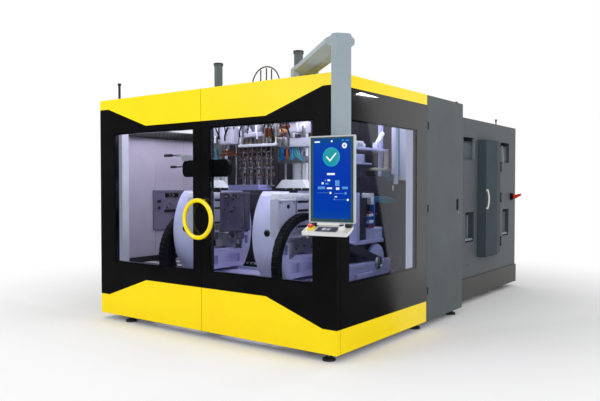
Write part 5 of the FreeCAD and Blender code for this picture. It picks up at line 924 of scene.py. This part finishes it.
for y0, y1 in ((1.88, 3.14), (3.15, 4.405)):                          # rear module, roof
    for x0, x1 in ((-1.425, -0.005), (0.005, 1.395)):
        covers.append(box((x0, y0, 2.4146), (x1, y1, 2.418), 0.0012))
        catches += [bar((x, y, 2.4175), (x, y, 2.4215), 0.01, 0.002, 12)
                    for x in (x0 + INSET, x1 - INSET) for y in (y0 + INSET, y1 - INSET)]
covers.append(box((-1.6392, 0.905, 0.12), (-1.635, 1.84, 2.5), 0.001))
catches += [bar((-1.6385, y, z), (-1.6398, y, z), 0.012, 0.0005) for y in (0.94, 1.8) for z in (0.3, 1.3, 2.3)]
piece("module_covers", covers, grey_coat)
piece("module_louvres", louvres, grey_coat)
piece("cover_catches", catches, zinc_steel)

# ---- Screen of the operator panel ----
# A tall touch screen behind glass: a blue lit picture with a few plain shapes on it, in a
# dark blue-green border. The shapes are generic marks, with no lettering.
PANEL_TURN = radians(6)
panel_at = Matrix.Translation((1.9163, -1.2433, 0)) @ Matrix.Rotation(PANEL_TURN, 4, "Z")
GLASS_Y, LAYER = -0.157, 0.0006    # the glass, and the step from one lit layer to the next


def on_panel(made, place=panel_at):
    """Set a part that was made about the panel's axis to its place."""
    made.data.transform(place)
    return made


dress(coat("screen_border_glass", "#3B565C", "#334C55", 0.004, 0.0, 0.1, 0.02), "monitor_screen")
picture_glow, tree, place = new_material("lit_blue_picture")
up = add(tree, "SeparateXYZ", links={0: place}).outputs["Z"]
height = add(tree, "MapRange", {"From Min": 1.3, "From Max": 1.9}, {"Value": up})
shade = add(tree, "ValToRGB", links={0: height})
shade.color_ramp.elements[0].color = linear("#0A45A4")
shade.color_ramp.elements[1].color = linear("#0B4C94")
for spot, code in ((0.1, "#003CAC"), (0.55, "#0838B0"), (0.9, "#0A42AE")):
    shade.color_ramp.elements.new(spot).color = linear(code)
body = add(tree, "BsdfPrincipled", {"Base Color": linear("#020408"), "Roughness": 0.12, "Emission Strength": 0.92},
    {"Emission Color": shade})
surface(tree, body)
picture = box((-0.161, GLASS_Y - LAYER, 1.292), (0.161, GLASS_Y + 0.001, 1.905), 0.0003)
piece("screen_picture", [on_panel(picture)], picture_glow, "panel")


def mark(x, z, wide, high, layer=1):
    """A flat lit shape on the picture, with rounded corners."""
    y = GLASS_Y - LAYER * (layer + 1)
    return on_panel(box((x, y, z), (x + wide, y + 0.0005, z + high), min(wide, high, 0.004) * 0.24))


def disc(x, z, radius, layer=1, sides=40):
    """A round lit shape on the picture."""
    y = GLASS_Y - LAYER * (layer + 1)
    return on_panel(bar((x, y, z), (x, y + 0.0005, z), radius, 0.0001, sides))


piece("screen_ring", [disc(-0.004, 1.765, 0.0735, 1, 64)], glowing("lit_ring", "#1AA6D8", 0.95),
    "panel")
piece("screen_disc", [disc(-0.004, 1.765, 0.068, 2, 64)], glowing("lit_teal_disc", "#0AA0A8", 0.92),
    "panel")
strokes = []
for (ax, az), (bx, bz) in (((-0.042, 1.765), (-0.014, 1.736)), ((-0.014, 1.736), (0.034, 1.79))):
    long = hypot(bx - ax, bz - az)
    stroke = box((-long / 2 - 0.005, -0.00025, -0.0058), (long / 2 + 0.005, 0.00025, 0.0058), 0.0002)
    placed(stroke, ((ax + bx) / 2, GLASS_Y - 4 * LAYER, (az + bz) / 2), (-degrees(atan2(bz - az, bx - ax)), "Y"))
    strokes.append(on_panel(stroke))
white_marks = [mark(-0.04, 1.627, 0.066, 0.015), disc(0.108, 1.849, 0.021), mark(-0.15, 1.877, 0.046, 0.011),
               disc(0.0, 1.885, 0.008, 1, 16), disc(-0.011, 1.49, 0.009, 1, 16), disc(0.137, 1.438, 0.009, 1, 16),
               mark(0.037, 1.514, 0.028, 0.018), mark(-0.041, 1.52, 0.044, 0.012), mark(-0.087, 1.556, 0.016, 0.016),
               mark(-0.036, 1.58, 0.022, 0.014), mark(0.026, 1.457, 0.02, 0.008)]
piece("screen_marks_white", strokes + white_marks, glowing("lit_white_marks", "#F2F8FF", 1.0),
    "panel")
blue_marks = [mark(-0.12, 1.519, 0.062, 0.02), mark(-0.06, 1.582, 0.012, 0.01), mark(0.03, 1.543, 0.036, 0.044),
              mark(-0.056, 1.555, 0.028, 0.012), mark(0.089, 1.52, 0.048, 0.018), mark(0.086, 1.885, 0.013, 0.01),
              mark(0.116, 1.886, 0.034, 0.006), disc(0.118, 1.488, 0.01, 1, 16), mark(0.018, 1.436, 0.012, 0.01),
              disc(0.108, 1.849, 0.009, 2, 16)]
blue_marks += row(mark(-0.126, 1.489, 0.006, 0.003), 11, (0.0099 * cos(PANEL_TURN), 0.0099 * sin(PANEL_TURN), 0))
blue_marks += row(mark(0.022, 1.484, 0.008, 0.005), 7, (0.0119, 0.00125, 0))
blue_marks += row(mark(0.036, 1.437, 0.007, 0.0025), 9, (0.0099, 0.00104, 0))
piece("screen_marks_blue", blue_marks, glowing("lit_pale_blue_marks", "#5E9BE6", 0.9), "panel")

# ---- Controls on the desk ----
# A yellow collar round the stop button, a dark membrane keypad with a ring and a white pad,
# a white bezel and a dark blue cap on the selector, black hinge blocks at the back, and a thin
# black line along the desk's right rim, a painted shadow of the rim.
def top_of(x, y):
    """A test for the flat top of a round part about a point of the desk."""
    return lambda centre, normal: normal.z > 0.9 and hypot(centre.x - x, centre.y - y) < 0.01


desk_at = panel_at @ Matrix.Translation((0, -0.152, 1.24)) @ Matrix.Rotation(radians(21), 4, "X")
collar = press_in(bar((-0.15, -0.066, -0.003), (-0.15, -0.066, 0.0126), 0.0322, 0.003, 40), top_of(-0.15, -0.066),
    0.0085, 0.002)
piece("stop_collar", [on_panel(collar, desk_at)], yellow_coat, "panel")

pad = press_in(box((-0.098, -0.11, -0.003), (0.086, -0.026, 0.0006), 0.0006),
               facing("z", 0.0005), 0.003, 0.0008)
piece("keypad_field", [on_panel(pad, desk_at)], coat("grey_membrane_keypad", "#55595E", "#4B4F55", 0.002, 0.06, 0.34),
    "panel")
dark_keys = [on_panel(box((x, y, -0.0004), (x + 0.013, y + 0.01, 0.0016), 0.0005), desk_at)
             for x in (-0.09, -0.072, 0.026, 0.044, 0.062) for y in (-0.104, -0.088, -0.072, -0.056, -0.04)]
piece("dark_keys", dark_keys, coat("dark_keys", "#2B2E33", "#32353A", 0.002, 0.05, 0.3), "panel")
ring = press_in(bar((-0.034, -0.07, -0.0004), (-0.034, -0.07, 0.0022), 0.017, 0.0006, 32),
                facing("z", 0.0021), 0.0045, 0.0016)
white_pad = box((-0.008, -0.082, -0.0004), (0.018, -0.058, 0.0022), 0.0008)
piece("pale_keys", [on_panel(part, desk_at) for part in (ring, white_pad)],
    coat("pale_keys", "#C9CED2", "#BBC1C6", 0.002, 0.05, 0.3), "panel")

white_bezel = coat("white_bezel", "#F2F2F0", "#E8E8E6", 0.002, 0.04, 0.24)
bezel = press_in(bar((0.112, -0.056, -0.004), (0.112, -0.056, 0.0056), 0.03, 0.002, 40), top_of(0.112, -0.056),
    0.0072, 0.0004)
piece("selector_bezel", [on_panel(bezel, desk_at)], white_bezel, "panel")
dress(white_bezel, "selector_knob")
cap = bar((0.112, -0.056, 0.027), (0.112, -0.056, 0.0375), 0.0205, 0.003, 32)
nick = box((0.11, -0.074, 0.037), (0.114, -0.056, 0.0386), 0.0006)
piece("selector_cap", [on_panel(part, desk_at) for part in (cap, nick)],
    coat("dark_blue_cap", "#1A2350", "#202A5C", 0.002, 0.04, 0.22), "selector")

blocks = [box((x - 0.026, -0.18, 1.229), (x + 0.026, -0.158, 1.2585), 0.003, 2) for x in (-0.15, 0.15)]
# The thin black line is a painted shadow of the desk's right rim.
rim_painted_shadow = box((0.1795, -0.128, 0.0002), (0.1825, -0.01, 0.0008), 0.0003)
piece("desk_hinges_and_rim_shadow", [on_panel(part) for part in blocks] + [on_panel(rim_painted_shadow, desk_at)],
    coat("black_hinge_block_and_painted_shadow", "#15151A", "#1D1D22", 0.002, 0.1, 0.36), "panel")
white_strip = box((-0.125, -0.168, 1.2395), (0.13, -0.159, 1.258), 0.002)
piece("desk_strip", [on_panel(white_strip)], white_bezel, "panel")

# ---- View ----
# Colours are shown through the standard view transform.
bpy.context.scene.view_settings.view_transform = "Standard"
